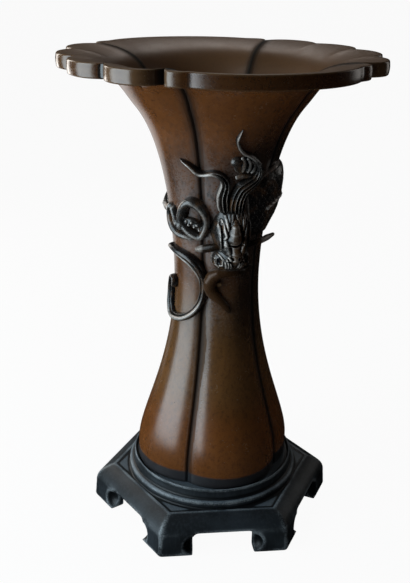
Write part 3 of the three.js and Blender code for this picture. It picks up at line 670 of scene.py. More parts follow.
MANE_PLACES = [(-3, 184), (-3.7, 191), (-0.5, 197.3), (5.3, 200.2), (11.2, 203), (13.3, 206.4), (11.9, 210),
               (7.6, 213.2), (1.4, 216), (-4.4, 217.8), (-8.1, 220.6), (-10, 224), (-7.5, 229.5)]
MANE_WIDTHS = (0.98, 1, 1, 0.9, 0.68, 0.44, 0.3, 0.24, 0.21, 0.18, 0.08)
MANE_RELIEFS = (1, 1, 1, 1, 0.95, 0.85, 0.75, 0.65, 0.6, 0.5, 0.25)
LOCK_PLACES = [(-16, 185), (-18.2, 189.5), (-18.8, 194), (-17, 201.7), (-21, 205), (-26.7, 206.3),
               (-40.7, 205.3), (-51, 209.2), (-59.5, 211.8)]
LOCK_WIDTHS = (0.8, 1, 1, 0.84, 0.64, 0.4, 0.34, 0.3, 0.22, 0.06)
LOCK_RELIEFS = (1, 1, 1, 1, 0.95, 0.9, 0.85, 0.8, 0.6, 0.3)
BACK_PLACES = [(12, 183), (30, 185), (48, 187.5), (66, 189.5), (95, 189), (130, 187.5), (165, 185.5),
               (200, 184), (230, 183), (256, 182), (267, 181.5)]
BACK_WIDTHS = (0.75, 1, 1, 0.98, 0.82, 0.66, 0.54, 0.44, 0.34, 0.22, 0.13)
BACK_RELIEFS = (0.12, 0.75, 0.95, 1, 1.1, 1.15, 1.1, 1, 0.9, 0.65, 0.45)
RING_PLACES = [(-53, 189.3), (-45, 187.9), (-38, 184.3), (-35, 180), (-37, 175.3), (-43, 171), (-53, 172.1),
               (-60, 174.5), (-66, 178), (-64, 183.4), (-59, 187.7)]
RING_WIDTHS = (1.2, 1.1, 1, 1, 1, 1, 1, 1.1, 1.25, 1.35, 1.3, 1.2)
BAR_PLACES = [(-63, 178.6), (-54, 178), (-45, 175.8), (-38, 173.8)]
BAR_WIDTHS = (1.1, 1.1, 0.9)
BAR_RELIEFS = (0.6, 0.55, 0.5)
BEAD_PLACES = [(-58, 178.6, 2.2), (-55.5, 176.8, 2.1), (-52, 178.2, 2.1), (-49, 176.2, 2), (-46, 177, 2),
               (-43.5, 174.6, 1.9)]
BEAD_SIZES = (0.75, 0.9, 0.7)
TIE_PLACES = [(-82, 185.5), (-87, 182.5), (-89, 179), (-87, 175), (-80, 172), (-71, 170.3), (-60, 169.6),
              (-52, 168.6)]
TIE_WIDTHS = (1.1, 1, 1, 1, 1, 0.9, 0.6)
TIE_RELIEFS = (0.7, 0.7, 0.8, 0.9, 0.9, 0.8, 0.5)
KNOT_PLACES = [(-81, 185), (-78, 182), (-75, 179.4), (-70, 177.2, 0.6), (-65, 175.8, 1.2)]
KNOT_WIDTHS = (0.9, 0.8, 0.8, 1.1, 1.2)
KNOT_RELIEFS = (0.7, 0.75, 0.85, 1, 1.15)
KNOT_BALL = ((-66, 175.8, 2.8), (2.5, 2.2, 2.3))
SCROLL_PLACES = [(-97, 161), (-82.6, 160), (-68.4, 158.6), (-56.7, 156.4), (-48, 153), (-41, 148), (-39, 143),
                 (-40.6, 136.7), (-46.3, 131), (-56.4, 126), (-70, 122.6), (-87, 122), (-97, 126.5),
                 (-98.5, 132), (-97, 138.5), (-91.5, 143), (-86.5, 142), (-87.5, 137.5)]
SCROLL_WIDTHS = (0.95, 1.2, 1.45, 1.5, 1.25, 1.05, 1, 1, 1.05, 1.1, 1.15, 1.05, 0.95, 0.85, 0.65)
TAIL_RUB_THICK = ((0, 0.25, 0.4, 0.5, 0.7, 0.8, 0.92, 1), (0.3, 0.3, 0.6, 1, 1, 0.45, 0.5, 0.9))
TAIL_RUB_THIN = ((0, 0.28, 0.4, 1), (1, 1, 0.5, 0.5))
WHISKERS = {                  # places, and radii as shares of the half width
    "left": ([(-14, 167.4, 3.2), (-24, 167, 3.6), (-36, 165.6, 3.6), (-47.5, 164.2, 3)],
             (1.1, 1.25, 1.25, 0.75)),
    "right": ([(4, 167.4, 3.2), (24, 167.8, 4.2), (42, 167.8, 5), (60, 167.2, 5.8)],
              (0.9, 0.9, 0.95, 0.5)),
}
PALM = ((-1, 210.5, 0), (5.4, 1.9, 5))
KNOB = ((-8.6, 212.4, 0.8), (2.9, 2.3, 2.6))
TOES = [
    [(-5.4, 215, 1.5), (-3, 212.8, 2.4), (-2.4, 209.8, 2.3), (-3, 207.2, 1.4)],
    [(-0.6, 214.6, 1.5), (2, 212, 2.4), (2.6, 209, 2.3), (1.6, 206.6, 1.4)],
    [(4.2, 213, 1.3), (6.8, 210.6, 2.1), (7, 208, 2), (5.6, 206, 1.3)],
]
TOE_RADII = (0.8, 1.05, 1.05, 0.7)
WRIST_RADII = (0.65, 1, 1, 0.6)
WRIST_PLACES = [(-8, 203.8, 0.4), (-2, 204.8, 0.8), (4.4, 205, 0.8), (9.5, 206.4, 0.4)]
JAW_LEFT = [(-37, 147.5), (-37.2, 142.5), (-33.5, 139), (-28.5, 136.8), (-23.5, 135.4), (-17.5, 133.2),
            (-12.5, 130.6), (-8, 128.8)]
JAW_RIGHT = [(27, 153.6), (19, 148), (11, 141.5), (3, 136), (-3.5, 131), (-4, 129.2)]
# Thick lip round the jaw's left corner and down the beard: angle, height, half width and rise
JAW_LIP = [(27.5, 153.4, 1.0, 0.8), (13.5, 151.2, 1.8, 1.8), (-1, 151.6, 2.4, 3.0), (-12.5, 152, 2.7, 4.2),
           (-21, 151.4, 3.1, 5.0), (-27.5, 149.6, 3.5, 5.2), (-31.2, 146.4, 3.6, 4.8),
           (-31.6, 143.2, 3.5, 4.2), (-28.5, 140.4, 3.4, 3.5), (-22, 137.4, 3.0, 3.0),
           (-15.5, 134.6, 2.4, 2.4), (-9.5, 132, 1.9, 1.8), (-5.5, 129.8, 1.3, 1.2)]

# Head, looking at it from the front: across and down from the crown
HEAD_OUTLINE = (0.62, 0.84, 0.96, 1, 0.98, 0.86, 0.8, 0.94, 0.92, 0.66)
HEAD_HEIGHTS = (0.5, 0.82, 0.96, 1, 1, 0.98, 1, 1, 0.85, 0.3)
# Each form: stations across, down, half width and rise above the skull. All but the nose stand on both sides.
HEAD_NOSE = [
    [(-0.2, 4.6, 1.4, 0.8), (-0.4, 7.5, 2.6, 2.6), (-0.6, 11, 3.7, 3.4), (-0.6, 13.6, 4.1, 3.2),
     (-0.5, 15.8, 3.2, 1.2)],
    [(0.3, 18.2, 2.8, 1.6), (0.4, 21.5, 3.5, 2.8), (0.4, 24, 3.3, 2.4), (0.4, 26, 2.4, 1.2)],
]
HEAD_FORMS = [
    [(-8.6, 3.8, 1.0, 0.8), (-8.9, 6.5, 1.6, 2.0), (-8.1, 11, 2.0, 2.3), (-7.7, 15.5, 2.1, 2.4),
     (-7.3, 19.6, 1.2, 1.0)],
    [(-6.7, 4.2, 0.9, 1.2), (-5.8, 8.5, 1.2, 2.0), (-5.0, 11.8, 1.2, 2.2), (-5.8, 13.2, 1.0, 1.8)],
    [(-5.4, 13.6, 1.1, 1.4), (-5.2, 16.5, 2.0, 2.4), (-4.0, 20.2, 2.1, 2.4), (-3.0, 21.8, 1.4, 1.6)],
    [(-5.0, 2.0, 1.0, 0.8), (-4.5, 5.6, 1.3, 1.6), (-4.1, 8.6, 0.9, 1.2)],
    [(-1.0, 0.6, 0.7, 0.4), (-1.4, 3.2, 0.8, 0.5), (-2.0, 5.6, 0.7, 0.5)],
    [(-2.7, 0.6, 0.7, 0.4), (-3.0, 3.4, 0.8, 0.5), (-3.2, 6.0, 0.7, 0.5)],
    [(-2.6, 24.2, 1.2, 1.8), (-3.4, 23.2, 1.0, 1.4)],
    [(-4.4, 24.4, 0.7, 2.0), (-4.3, 24.8, 0.7, 2.0)],
    [(-5.0, 26.0, 0.6, 1.6), (-4.2, 29.6, 0.6, 1.2)],
    [(-3.7, 26.2, 0.6, 1.7), (-3.0, 29.8, 0.6, 1.2)],
    [(-2.4, 26.6, 0.6, 1.6), (-1.8, 29.6, 0.6, 1.0)],
    [(-9.2, 23.4, 0.7, 1.0), (-9.9, 26.0, 0.9, 2.2), (-9.4, 28.0, 0.8, 1.6), (-7.4, 29.6, 0.7, 1.2)],
    [(-8.8, 21.6, 0.6, 1.0), (-7.2, 23.0, 0.8, 1.4), (-5.8, 24.6, 0.6, 1.0)],
]
HEAD_RECESSES = [
    [(-3.8, 16.4, 0.6, 0.4), (0, 17.0, 0.9, 1.4), (3.6, 16.4, 0.6, 0.4)],
    [(-7.4, 25.4, 1.2, 2.0), (-7.2, 27.4, 1.2, 2.0)],
    [(-1.7, 23.2, 0.7, 1.4), (-1.5, 24.0, 0.7, 1.4)],
    [(-6.6, 5.6, 0.6, 0.8), (-7.0, 10, 0.6, 1.0), (-6.8, 14.6, 0.6, 1.0), (-6.2, 18.6, 0.6, 0.8)],
]

NOSE_MIDDLE = 1.4             # brown strip along the nose
NOSE_HALF = 3.6
HEAD_BASE = 0.6               # how far the mask's rim stands off the wall
HEAD_EDGE = 1.2               # breadth in which the forms fade out at the rim
HEAD_ORIGIN = wall_point(HEAD_ANGLE, HEAD_CROWN_Z - HEAD_LENGTH / 2)
HEAD_ORIGIN_RADIUS = math.hypot(HEAD_ORIGIN[0], HEAD_ORIGIN[1])
HEAD_OUT = polar(HEAD_ANGLE, 1.0, 0.0)
HEAD_SIDE = polar(HEAD_ANGLE + 90, 1.0, 0.0)


def form_heights(across, down, forms):
    """Rounded ridges flowing into each other."""
    total = np.zeros(across.shape)
    for stations in forms:
        best = np.zeros(across.shape)
        for (a0, d0, half0, rise0), (a1, d1, half1, rise1) in zip(stations, stations[1:]):
            run, fall = a1 - a0, d1 - d0
            t = np.clip(((across - a0) * run + (down - d0) * fall) / (run * run + fall * fall), 0, 1)
            distance = np.hypot(across - a0 - t * run, down - d0 - t * fall)
            swell = np.clip(1 - (distance / lerp(half0, half1, t)) ** 2, 0, 1)
            best = np.maximum(best, lerp(rise0, rise1, t) * swell)
        total += best ** 4
    return total ** 0.25


def head_shell():
    """Dragon's mask, looking down: brow curls, eyes, long nose, cheeks, curled lip and tusks."""
    rows, columns = 210, 160
    share = np.linspace(0, 1, rows)[:, None]
    s = np.sin(np.linspace(-1, 1, columns) * np.pi / 2)[None, :]
    half = HEAD_HALF * run_through(HEAD_OUTLINE, share)
    across, down = s * half, np.broadcast_to(share * HEAD_LENGTH, (rows, columns))
    wall = np.sqrt(np.maximum(HEAD_ORIGIN_RADIUS ** 2 - across ** 2, 0)) - HEAD_ORIGIN_RADIUS
    skull = HEAD_RELIEF * run_through(HEAD_HEIGHTS, share) * (1 - np.abs(s) ** 2.6) ** 0.7
    mirrored = -np.abs(across)
    detail = np.maximum(form_heights(mirrored, down, HEAD_FORMS), form_heights(across, down, HEAD_NOSE))
    detail = detail - form_heights(mirrored, down, HEAD_RECESSES)
    edge = np.clip((1 - np.abs(s)) * half / HEAD_EDGE, 0, 1)
    edge = edge * np.clip(np.minimum(share, 1 - share) * HEAD_LENGTH / HEAD_EDGE, 0, 1)
    layers = []
    for out in (wall + HEAD_BASE + skull + detail * edge, wall - SINK):
        layer = HEAD_ORIGIN + across[..., None] * HEAD_SIDE + out[..., None] * HEAD_OUT
        layer[..., 2] = HEAD_CROWN_Z - down
        layers.append(layer)
    return skin(np.concatenate([layers[0], layers[1][:, ::-1]], axis=1))


def ornament(name, mesh, material):
    """Ornament that replaces the node its name starts with."""
    piece(name, mesh, "vase", "ornament_bronze", material, name.rpartition("_")[0])


def carved(name, shells, voxel, rounds, ridge, brown=None):
    """Ornament with one skin over its shells. Ridge is the reach and height of its relief."""
    points, faces = merged(shells)
    mesh = remeshed(name, turned(points, VASE_TURN), faces, voxel)
    set_points(mesh, smoothed(mesh, vertex_vectors(mesh), rounds))
    add_relief(mesh, *ridge)
    if brown is not None:
        add_attribute(mesh, "brown", brown(turned(vertex_vectors(mesh) / MM, -VASE_TURN)))
    ornament(name, mesh, ornament_bronze)


def swept(name, shells, material, ridge, brown=None, rub=lambda points: 1.0):
    """Ornament whose shells keep their own faces."""
    points, faces = merged(shells)
    mesh = build_mesh(name, turned(points, VASE_TURN), faces)
    add_relief(mesh, *ridge, rub=rub(points))
    if brown is not None:
        add_attribute(mesh, "brown", brown(points))
    ornament(name, mesh, material)


def combed(name, places, section, relief, size, widths, reliefs, along, across):
    """Strand with ridges along it."""
    points, faces = strand(places, section, size, widths, reliefs, along, across)
    mesh = build_mesh(name, turned(points, VASE_TURN), faces)
    add_attribute(mesh, "relief", relief)
    ornament(name, mesh, ornament_bronze)


def brown_nose(points):
    """Where the dark patina is rubbed through to brown along the nose."""
    across = (points - HEAD_ORIGIN) @ HEAD_SIDE
    down = HEAD_CROWN_Z - points[:, 2]
    strip = np.exp(-((across - NOSE_MIDDLE) / NOSE_HALF) ** 4)
    return strip * smoothstep(down, 0, 4) * smoothstep(down, 29, 25)


def face_rub_shaded_right(points):
    """Painted shade: the face's right half, on the side away from the window lamp, is rubbed less pale."""
    return lerp(1, 0.3, smoothstep((points - HEAD_ORIGIN) @ HEAD_SIDE, 1, 5))


def pale_tip(points):
    """The whiskers are rubbed towards their tips."""
    return smoothstep(np.abs(bearing(points) - HEAD_ANGLE), 26, 40)


def brown_tip(points):
    return 0.7 * pale_tip(points)


def brown_palm(points):
    """Where the claw's palm is rubbed brown, between knob and toes."""
    return 0.9 * spot(bearing(points), points[:, 2], *BROWN_AT_PALM)


JAW_SUNK = -0.8               # the jaw's sheet beside the lip lies in the wall, and under the lip on it
JAW_PROUD = 0.4


def jaw_shell():
    """Broad lip that turns out from the wall, rounded on the left, and runs down into a pointed beard."""
    along, across = 120, 150
    left, right = (smooth_path([(*place, 0.0) for place in places], along)[0]
                   for places in (JAW_LEFT, JAW_RIGHT))
    t = np.linspace(0, 1, along)[:, None]
    s = np.linspace(0, 1, across)[None, :]
    angle = lerp(left[:, :1], right[:, :1], s)
    z = lerp(left[:, 1:2], right[:, 1:2], s) + JAW_BOW * (1 - t) ** 2 * np.sin(np.pi * s ** 0.5)
    rise = jaw_rise(angle, z)
    top = wall_point(angle, z, rise + lerp(JAW_SUNK, JAW_PROUD, smoothstep(rise, 0, 0.9)))
    under = wall_point(angle, z, -SINK)[:, ::-1]
    return skin(np.concatenate([top, under], axis=1))


def jaw_rise(angle, z):
    """Rise of the lip, round in section."""
    arc = math.radians(WAIST_RADIUS)    # millimetres in a degree, about the waist
    stations = [(place * arc, -height, half, rise ** 2) for place, height, half, rise in JAW_LIP]
    return np.sqrt(form_heights(angle * arc, -z, [stations]))


def lip_brown_and_shade(points):
    """Brown on the rounded lip; the dark in the hollow beside the beard and towards the right is painted shade.
    """
    angle = bearing(points)
    return smoothstep(jaw_rise(angle, points[:, 2]), 0.4, 2.2) * smoothstep(angle, 14, -8)


# Fins on the back, with sizes for its thinnest and its broadest part
FINS = 30
FIN_FIRST = 40                # rings left free at the two ends of the back
FIN_LAST = 30
FIN_ROOT = 0.92               # share of the back's rise
FIN_RISE = (0.7, 1.6)
FIN_LEAN = (0.8, 2.0)
FIN_SPREAD = (0.9, 2.0)
FIN_BASE = (0.8, 1.3)
FIN_MIDDLE = (0.7, 1.1)
FIN_TIP = 0.15


def back_shells():
    """Scaled back with a crest of fins."""
    along, across = 420, 64
    points, ahead, side, out, length = wall_frame(wall_points(BACK_PLACES), along)
    t = np.linspace(0, 1, along)
    half = NECK_WIDTH / 2 * run_through(BACK_WIDTHS, t)
    high = NECK_RELIEF * run_through(BACK_RELIEFS, t)
    turn = np.linspace(-1, 1, across)
    b = np.sin(turn * np.pi / 2)
    scale = scale_height(t[:, None] * length, turn[None, :] * half[:, None] * 1.25)
    scale = scale * np.clip(half / 6, 0.35, 1)[:, None]
    rise = round_back(b) * high[:, None] + scale * (0.3 + 0.7 * np.sqrt(np.maximum(0, 1 - b ** 2)))
    shells = [skin(laid(points, side, out, b, half, rise))]
    for number in range(FINS):
        i = int(lerp(FIN_FIRST, along - FIN_LAST, number / (FINS - 1)))
        size = 2 * half[i] / NECK_WIDTH
        root = points[i] + FIN_ROOT * high[i] * out[i]
        tip = root + lerp(*FIN_RISE, size) * out[i] + lerp(*FIN_LEAN, size) * ahead[i]
        spread = lerp(*FIN_SPREAD, size) * ahead[i]
        radii = (lerp(*FIN_BASE, size), lerp(*FIN_MIDDLE, size), FIN_TIP)
        shells.append(tube([root - spread, root + 0.35 * (tip - root), tip], radii, along=10, around=8))
    return shells


def scale_height(u, v, pitch=3.0, row=2.4, rise=0.42):
    """Overlapping scales, each rising towards its free edge."""
    best = np.zeros(np.broadcast(u, v).shape)
    for near in (-1, 0, 1):
        line = np.floor(v / row + 0.5) + near
        for step in (-1, 0, 1):
            start = np.floor(u / pitch + 0.5 * np.mod(line, 2)) + step
            du = u / pitch + 0.5 * np.mod(line, 2) - start - 0.5
            dv = v / row - line
            inside = 1 - (du / 0.72) ** 2 - (dv / 0.8) ** 2
            height = rise * (0.45 + 0.5 * du) * np.clip(inside * 3, 0, 1)
            best = np.maximum(best, np.where(inside > 0, height, 0))
    return best


# Stand

RING_STEP = 1.2
STAND_VOXEL = 0.4


def stand_profile():
    """Corner radius, height and share of hexagon, from the seat over the side to the underside."""
    seat = FOOT_RADIUS + SEAT_PLAY
    lip = seat + LIP_WIDTH
    hollow = FOOT_REACH - STAND_WALL / FLAT
    ceiling = SEAT_Z - SLAB_THICKNESS
    rows = [
        (seat / 2, SEAT_Z, 0), (seat, SEAT_Z, 0), (seat, LIP_Z - 0.5, 0), (seat + 0.4, LIP_Z, 0),
        (lip - 0.3, LIP_Z, 0), (lip, LIP_Z - 0.6, 0), (lip, LIP_Z - 2.6, 0), (lip + 0.5, MOUND_Z + 0.9, 0),
        (MOUND_RADIUS - 0.4, MOUND_Z, 0), (MOUND_RADIUS, MOUND_Z - 0.4, 0),
        (MOUND_RADIUS, ARRIS_Z - 0.4, 0), (ARRIS_REACH - 1.2, ARRIS_Z - 0.7, 1), (ARRIS_REACH, ARRIS_Z, 1),
    ]
    first = math.radians(ROLL_START)
    for turn in np.linspace(first, math.pi / 2, 17)[1:]:
        out = (math.sin(turn) - math.sin(first)) / (1 - math.sin(first))
        up = math.cos(turn) / math.cos(first)
        rows.append((lerp(ARRIS_REACH, BULGE_REACH, out), lerp(BULGE_Z, ARRIS_Z, up), 1))
    rows += [
        (FOOT_REACH, 0.8, 1), (FOOT_REACH - 1, 0, 1), (hollow, 0, 1), (hollow, APRON_EDGE_Z, 1),
        (ARRIS_REACH - STAND_WALL, ceiling - 3, 1), (seat / 2, ceiling, 0),
    ]
    return rows


def stand_ring(reach, z, hexagon):
    angles = np.arange(0, 360, 1.0)
    from_flat = np.mod(angles + 30, 60) - 30
    return polar(angles, reach * lerp(1, FLAT / np.cos(np.radians(from_flat)), hexagon), z)


def stand_rings():
    rows = np.array(stand_profile(), float)
    rings = [stand_ring(*rows[0])]
    for low, high in zip(rows, rows[1:]):
        steps = max(1, int(np.linalg.norm((high - low)[:2]) / RING_STEP))
        for i in range(1, steps + 1):
            rings.append(stand_ring(*lerp(low, high, i / steps)))
    return rings


def leg_cutters():
    """Gates between the legs, and the hollow scooped beside each toe."""
    half, top, corner = OPENING_WIDTH / 2, APRON_EDGE_Z, OPENING_CORNER
    arc = np.radians(np.linspace(0, 90, 9))
    right = np.stack([half - corner + corner * np.cos(arc), top - corner + corner * np.sin(arc)], axis=1)
    left = right[::-1] * (-1, 1)
    outline = np.vstack([[-half, -top], [half, -top], right, left])
    face = FOOT_REACH * FLAT
    inner = face - 2 * STAND_WALL
    gates, scoops = [], []
    for side in range(6):
        rings = [np.stack([outline[:, 0], np.full(len(outline), -depth), outline[:, 1]], axis=1)
                 for depth in (inner, FOOT_REACH + 2)]
        points, faces = skin(rings)
        gates.append((turned(points, 60 * side), faces))
        for edge in (-half, half):
            points, faces = blob((edge, -face, SCOOP_Z), np.eye(3), (SCOOP_RADIUS,) * 3)
            scoops.append((turned(points, 60 * side), faces))
    return [merged(gates), merged(scoops)]


def stand_mesh():
    points, faces = skin(stand_rings())
    mesh = remeshed("stand_cast", points, faces, STAND_VOXEL, leg_cutters())
    points = smoothed(mesh, vertex_vectors(mesh), rounds=2)
    # The rolled side and the legs are softened further, and upward faces inside the hexagon of the arris are
    # paler: partly dust, partly painted top light
    arris = FLAT * ARRIS_REACH
    outside = smoothstep(side_distance(points), arris - 0.4, arris + 1.5)
    set_points(mesh, smoothed(mesh, points, rounds=26, strength=0.5 * outside[:, None]))
    add_relief(mesh, reach=1.8, height=0.12)
    add_attribute(mesh, "dust_and_top_light", smoothstep(vertex_vectors(mesh, "normal")[:, 2], 0.3, 0.8) * (1 - outside))
    return mesh


def side_distance(points):
    """How far out points lie, square to the nearest flat side of the stand, in millimetres."""
    turns = np.radians(np.arange(0, 360, 60))
    return (points[:, :2] @ np.stack([np.sin(turns), -np.cos(turns)])).max(axis=1) / MM


# Materials

class Nodes:
    """Short forms for wiring a procedural material."""

    def __init__(self, tree):
        self.tree = tree

    def add(self, kind, **settings):
        node = self.tree.nodes.new(kind)
        for name, value in settings.items():
            setattr(node, name, value)
        return node

    def link(self, out, socket):
        self.tree.links.new(out, socket)

    def value(self, socket, source):
        if isinstance(source, bpy.types.NodeSocket):
            self.link(source, socket)
        else:
            socket.default_value = source

    def attribute(self, name):
        return self.add("ShaderNodeAttribute", attribute_name=name).outputs["Fac"]

    def place(self, scale):
        """Coordinates in millimetres times a scale, even or by axis."""
        coord = self.add("ShaderNodeTexCoord")
        mapping = self.add("ShaderNodeMapping")
        self.link(coord.outputs["Object"], mapping.inputs["Vector"])
        mapping.inputs["Scale"].default_value = tuple(np.broadcast_to(scale, 3) / MM)
        return mapping.outputs["Vector"]

    def texture(self, kind, scale, **settings):
        node = self.add(kind)
        self.link(self.place(scale), node.inputs["Vector"])
        for name, number in {"Scale": 1.0, **settings}.items():
            node.inputs[name].default_value = number
        return node

    def noise(self, scale, detail=4.0, rough=0.55):
        return self.texture("ShaderNodeTexNoise", scale, Detail=detail, Roughness=rough).outputs["Fac"]

    def cells(self, scale):
        return self.texture("ShaderNodeTexVoronoi", scale).outputs["Distance"]

    def spread(self, source, low, high, to_low=0.0, to_high=1.0):
        node = self.add("ShaderNodeMapRange", interpolation_type="SMOOTHSTEP")
        self.value(node.inputs["Value"], source)
        for name, number in (("From Min", low), ("From Max", high), ("To Min", to_low), ("To Max", to_high)):
            node.inputs[name].default_value = number
        return node.outputs["Result"]

    def math(self, operation, a, b):
        node = self.add("ShaderNodeMath", operation=operation)
        self.value(node.inputs[0], a)
        self.value(node.inputs[1], b)
        return node.outputs[0]

    def times(self, *factors):
        product = factors[0]
        for factor in factors[1:]:
            product = self.math("MULTIPLY", product, factor)
        return product

    def mix(self, share, a, b):
        node = self.add("ShaderNodeMix", data_type="RGBA")
        self.value(node.inputs["Factor"], share)
        for socket, source in ((node.inputs["A"], a), (node.inputs["B"], b)):
            self.value(socket, source if isinstance(source, bpy.types.NodeSocket) else (*source, 1))
        return node.outputs["Result"]

    def coat(self, colour, tint, *shares):
        """Colour with a tint over it, by the product of the shares."""
        return self.mix(self.times(*shares), colour, tint)

    def height(self):
        split = self.add("ShaderNodeSeparateXYZ")
        self.link(self.place(1), split.inputs[0])
        return split.outputs["Z"]

    def seen(self):
        """1 on what is looked at, directly or by reflection or through glass, and 0 on what gives light."""
        path = self.add("ShaderNodeLightPath")
        seen = self.math("MAXIMUM", path.outputs["Is Camera Ray"], path.outputs["Is Glossy Ray"])
        return self.math("MAXIMUM", seen, path.outputs["Is Transmission Ray"])

    def blend(self, share, first, second, out):
        node = self.add("ShaderNodeMixShader")
        self.link(share, node.inputs["Fac"])
        self.link(first.outputs[0], node.inputs[1])
        self.link(second.outputs[0], node.inputs[2])
        self.link(node.outputs[0], out.inputs["Surface"])

    def bump(self, height, distance, strength):
        node = self.add("ShaderNodeBump")
        node.inputs["Distance"].default_value = distance * MM
        node.inputs["Strength"].default_value = strength
        self.link(height, node.inputs["Height"])
        return node.outputs["Normal"]


def surface(name, metallic, specular):
    material = bpy.data.materials.new(name)
    material.use_nodes = True
    shader = material.node_tree.nodes["Principled BSDF"]
    shader.inputs["Metallic"].default_value = metallic
    shader.inputs["Specular IOR Level"].default_value = specular
    return material, Nodes(material.node_tree), shader


def finished(n, shader, colour, rough, normal):
    for socket, source in (("Base Color", colour), ("Roughness", rough), ("Normal", normal)):
        n.link(source, shader.inputs[socket])


# Colours: linear red, green and blue
CHESTNUT_DARK = (0.070, 0.024, 0.0065)
CHESTNUT = (0.150, 0.052, 0.0125)
CHESTNUT_WARM = (0.22, 0.068, 0.014)
OLIVE_BROWN = (0.135, 0.068, 0.022)
SPECK_BROWN = (0.045, 0.016, 0.006)
GRAIN_BROWN = (0.04, 0.015, 0.006)
SHADE_BROWN = (0.014, 0.009, 0.0055)
LIP_BROWN = (0.024, 0.010, 0.0035)
DULL_DEPOSIT = (0.12, 0.088, 0.078)
SMUDGE_BLACK = (0.014, 0.010, 0.009)
INNER_BROWN = (0.155, 0.082, 0.040)
CREASE_BLACK = (0.007, 0.006, 0.005)
RECESS_BROWN = (0.012, 0.008, 0.006)
RUBBED_BRONZE = (0.19, 0.11, 0.055)
PIT_BLACK = (0.01, 0.006, 0.004)
FOOT_BLUE_BLACK = (0.015, 0.018, 0.022)


def vase_material(name, gloss):
    material, n, shader = surface(name, metallic=0.1, specular=gloss)
    mottle = n.noise(0.035, 5)
    cloud = n.noise((0.13, 0.13, 0.1), 5, 0.6)
    streak = n.noise((0.22, 0.22, 0.012), 4)
    fine = n.noise(1.1, 5, 0.65)
    speck = n.noise((0.55, 0.55, 0.4), 6, 0.7)
    grit = n.noise(0.7, 6, 0.75)
    blotch = n.noise((0.3, 0.3, 0.2), 6, 0.7)
    pits = n.spread(n.cells(0.16), 0.055, 0.02)
    height = n.height()
    shade, lip, soil_share, inside, crease, relief = (
        n.attribute(kind) for kind in ("shade", "lip", "soil", "inside", "crease", "relief"))
    # Patina in clouds and streaks, warmer towards the foot and the flare and olive between them
    tone = n.math("ADD", n.times(mottle, 0.5), n.times(streak, 0.36))
    tone = n.spread(n.math("ADD", tone, n.times(cloud, 0.14)), 0.38, 0.62)
    warm = n.math("MAXIMUM", n.spread(height, 130, 45), n.spread(height, 205, 228))
    olive = n.times(n.spread(height, 62, 85), n.spread(height, 152, 125))
    dull = n.times(soil_share, n.spread(grit, 0.34, 0.62))
    smudge = n.times(soil_share, n.spread(blotch, 0.5, 0.64))
    # Blue-black foot, with an uneven upper edge
    foot = n.spread(n.math("ADD", height, n.times(fine, 2.4)), 39.2, 37.6)
    colour = n.mix(tone, CHESTNUT_DARK, CHESTNUT)
    for tint, *shares in (
            (CHESTNUT_WARM, warm, 0.55),
            (OLIVE_BROWN, olive, 0.55),
            (SPECK_BROWN, n.spread(speck, 0.48, 0.66), 0.5),
            (GRAIN_BROWN, n.spread(fine, 0.46, 0.72), 0.4),
            # shade: painted shade on the wall's right side and beside the claw, partly darker patina
            (SHADE_BROWN, shade, 0.8),
            (LIP_BROWN, lip, 0.72),
            (DULL_DEPOSIT, dull, 0.85),
            (SMUDGE_BLACK, smudge, 0.8),
            (INNER_BROWN, inside, 0.75),
            # crease: dark deposit and painted shade in the grooves and along the folds inside
            (CREASE_BLACK, crease, 0.92),
            (RECESS_BROWN, n.spread(relief, 0.45, 0.2)),
            (RUBBED_BRONZE, n.spread(relief, 0.62, 0.9, 0, 0.45)),
            (PIT_BLACK, pits, 0.8),
            (FOOT_BLUE_BLACK, foot, 0.95)):
        colour = n.coat(colour, tint, *shares)
    rough = n.spread(n.math("ADD", n.times(fine, 0.5), n.times(cloud, 0.5)), 0.3, 0.7, 0.17, 0.29)
    for cause, share in ((dull, 0.2), (inside, 0.16), (crease, 0.3), (foot, 0.2)):
        rough = n.math("ADD", rough, n.times(cause, share))
    grain = n.math("SUBTRACT", n.math("ADD", fine, n.times(dull, fine)), n.times(pits, 2.0))
    finished(n, shader, colour, rough, n.bump(grain, distance=0.12, strength=0.35))
    return material


ORNAMENT_DARK = (0.016, 0.013, 0.011)
ORNAMENT_BROWN = (0.085, 0.040, 0.016)
JAW_DARK = (0.012, 0.007, 0.004)
JAW_BROWN = (0.056, 0.025, 0.010)
ORNAMENT_RECESS = (0.004, 0.003, 0.003)
ORNAMENT_WORN = (0.42, 0.37, 0.33)


def ornament_material(name, dark, brown, gloss):
    """Dark patina, rubbed through to brown in places and worn pale on the ridges."""
    material, n, shader = surface(name, metallic=0.2, specular=gloss)
    relief, bare = n.attribute("relief"), n.attribute("brown")
    mottle = n.noise(0.16, 5)
    fine = n.noise(1.6, 5, 0.65)
    # brown attribute: rubbed brown; on the jaw its dark share in the hollow and towards the right is painted
    # shade
    colour = n.mix(n.math("MAXIMUM", n.spread(mottle, 0.46, 0.66), bare), dark, brown)
    colour = n.coat(colour, ORNAMENT_RECESS, n.spread(relief, 0.5, 0.3))
    patches = n.spread(n.times(fine, mottle), 0.1, 0.24)
    # pale share: wear on the ridges, plus painted highlight along the combed strands' left edges, and less of
    # it on the face's right half as painted shade
    colour = n.coat(colour, ORNAMENT_WORN, n.spread(relief, 0.62, 0.9), patches, n.spread(bare, 0, 1, 0.9, 0.3))
    rough = n.spread(fine, 0.3, 0.7, 0.2, 0.36)
    finished(n, shader, colour, rough, n.bump(fine, distance=0.12, strength=0.4))
    return material


STAND_DARK = (0.011, 0.013, 0.015)
STAND_BLUE = (0.023, 0.028, 0.033)
STAND_BRUSHED = (0.036, 0.042, 0.047)
STAND_DUST_AND_LIGHT = (0.115, 0.140, 0.160)
STAND_RECESS = (0.005, 0.006, 0.007)
STAND_WORN = (0.24, 0.26, 0.27)


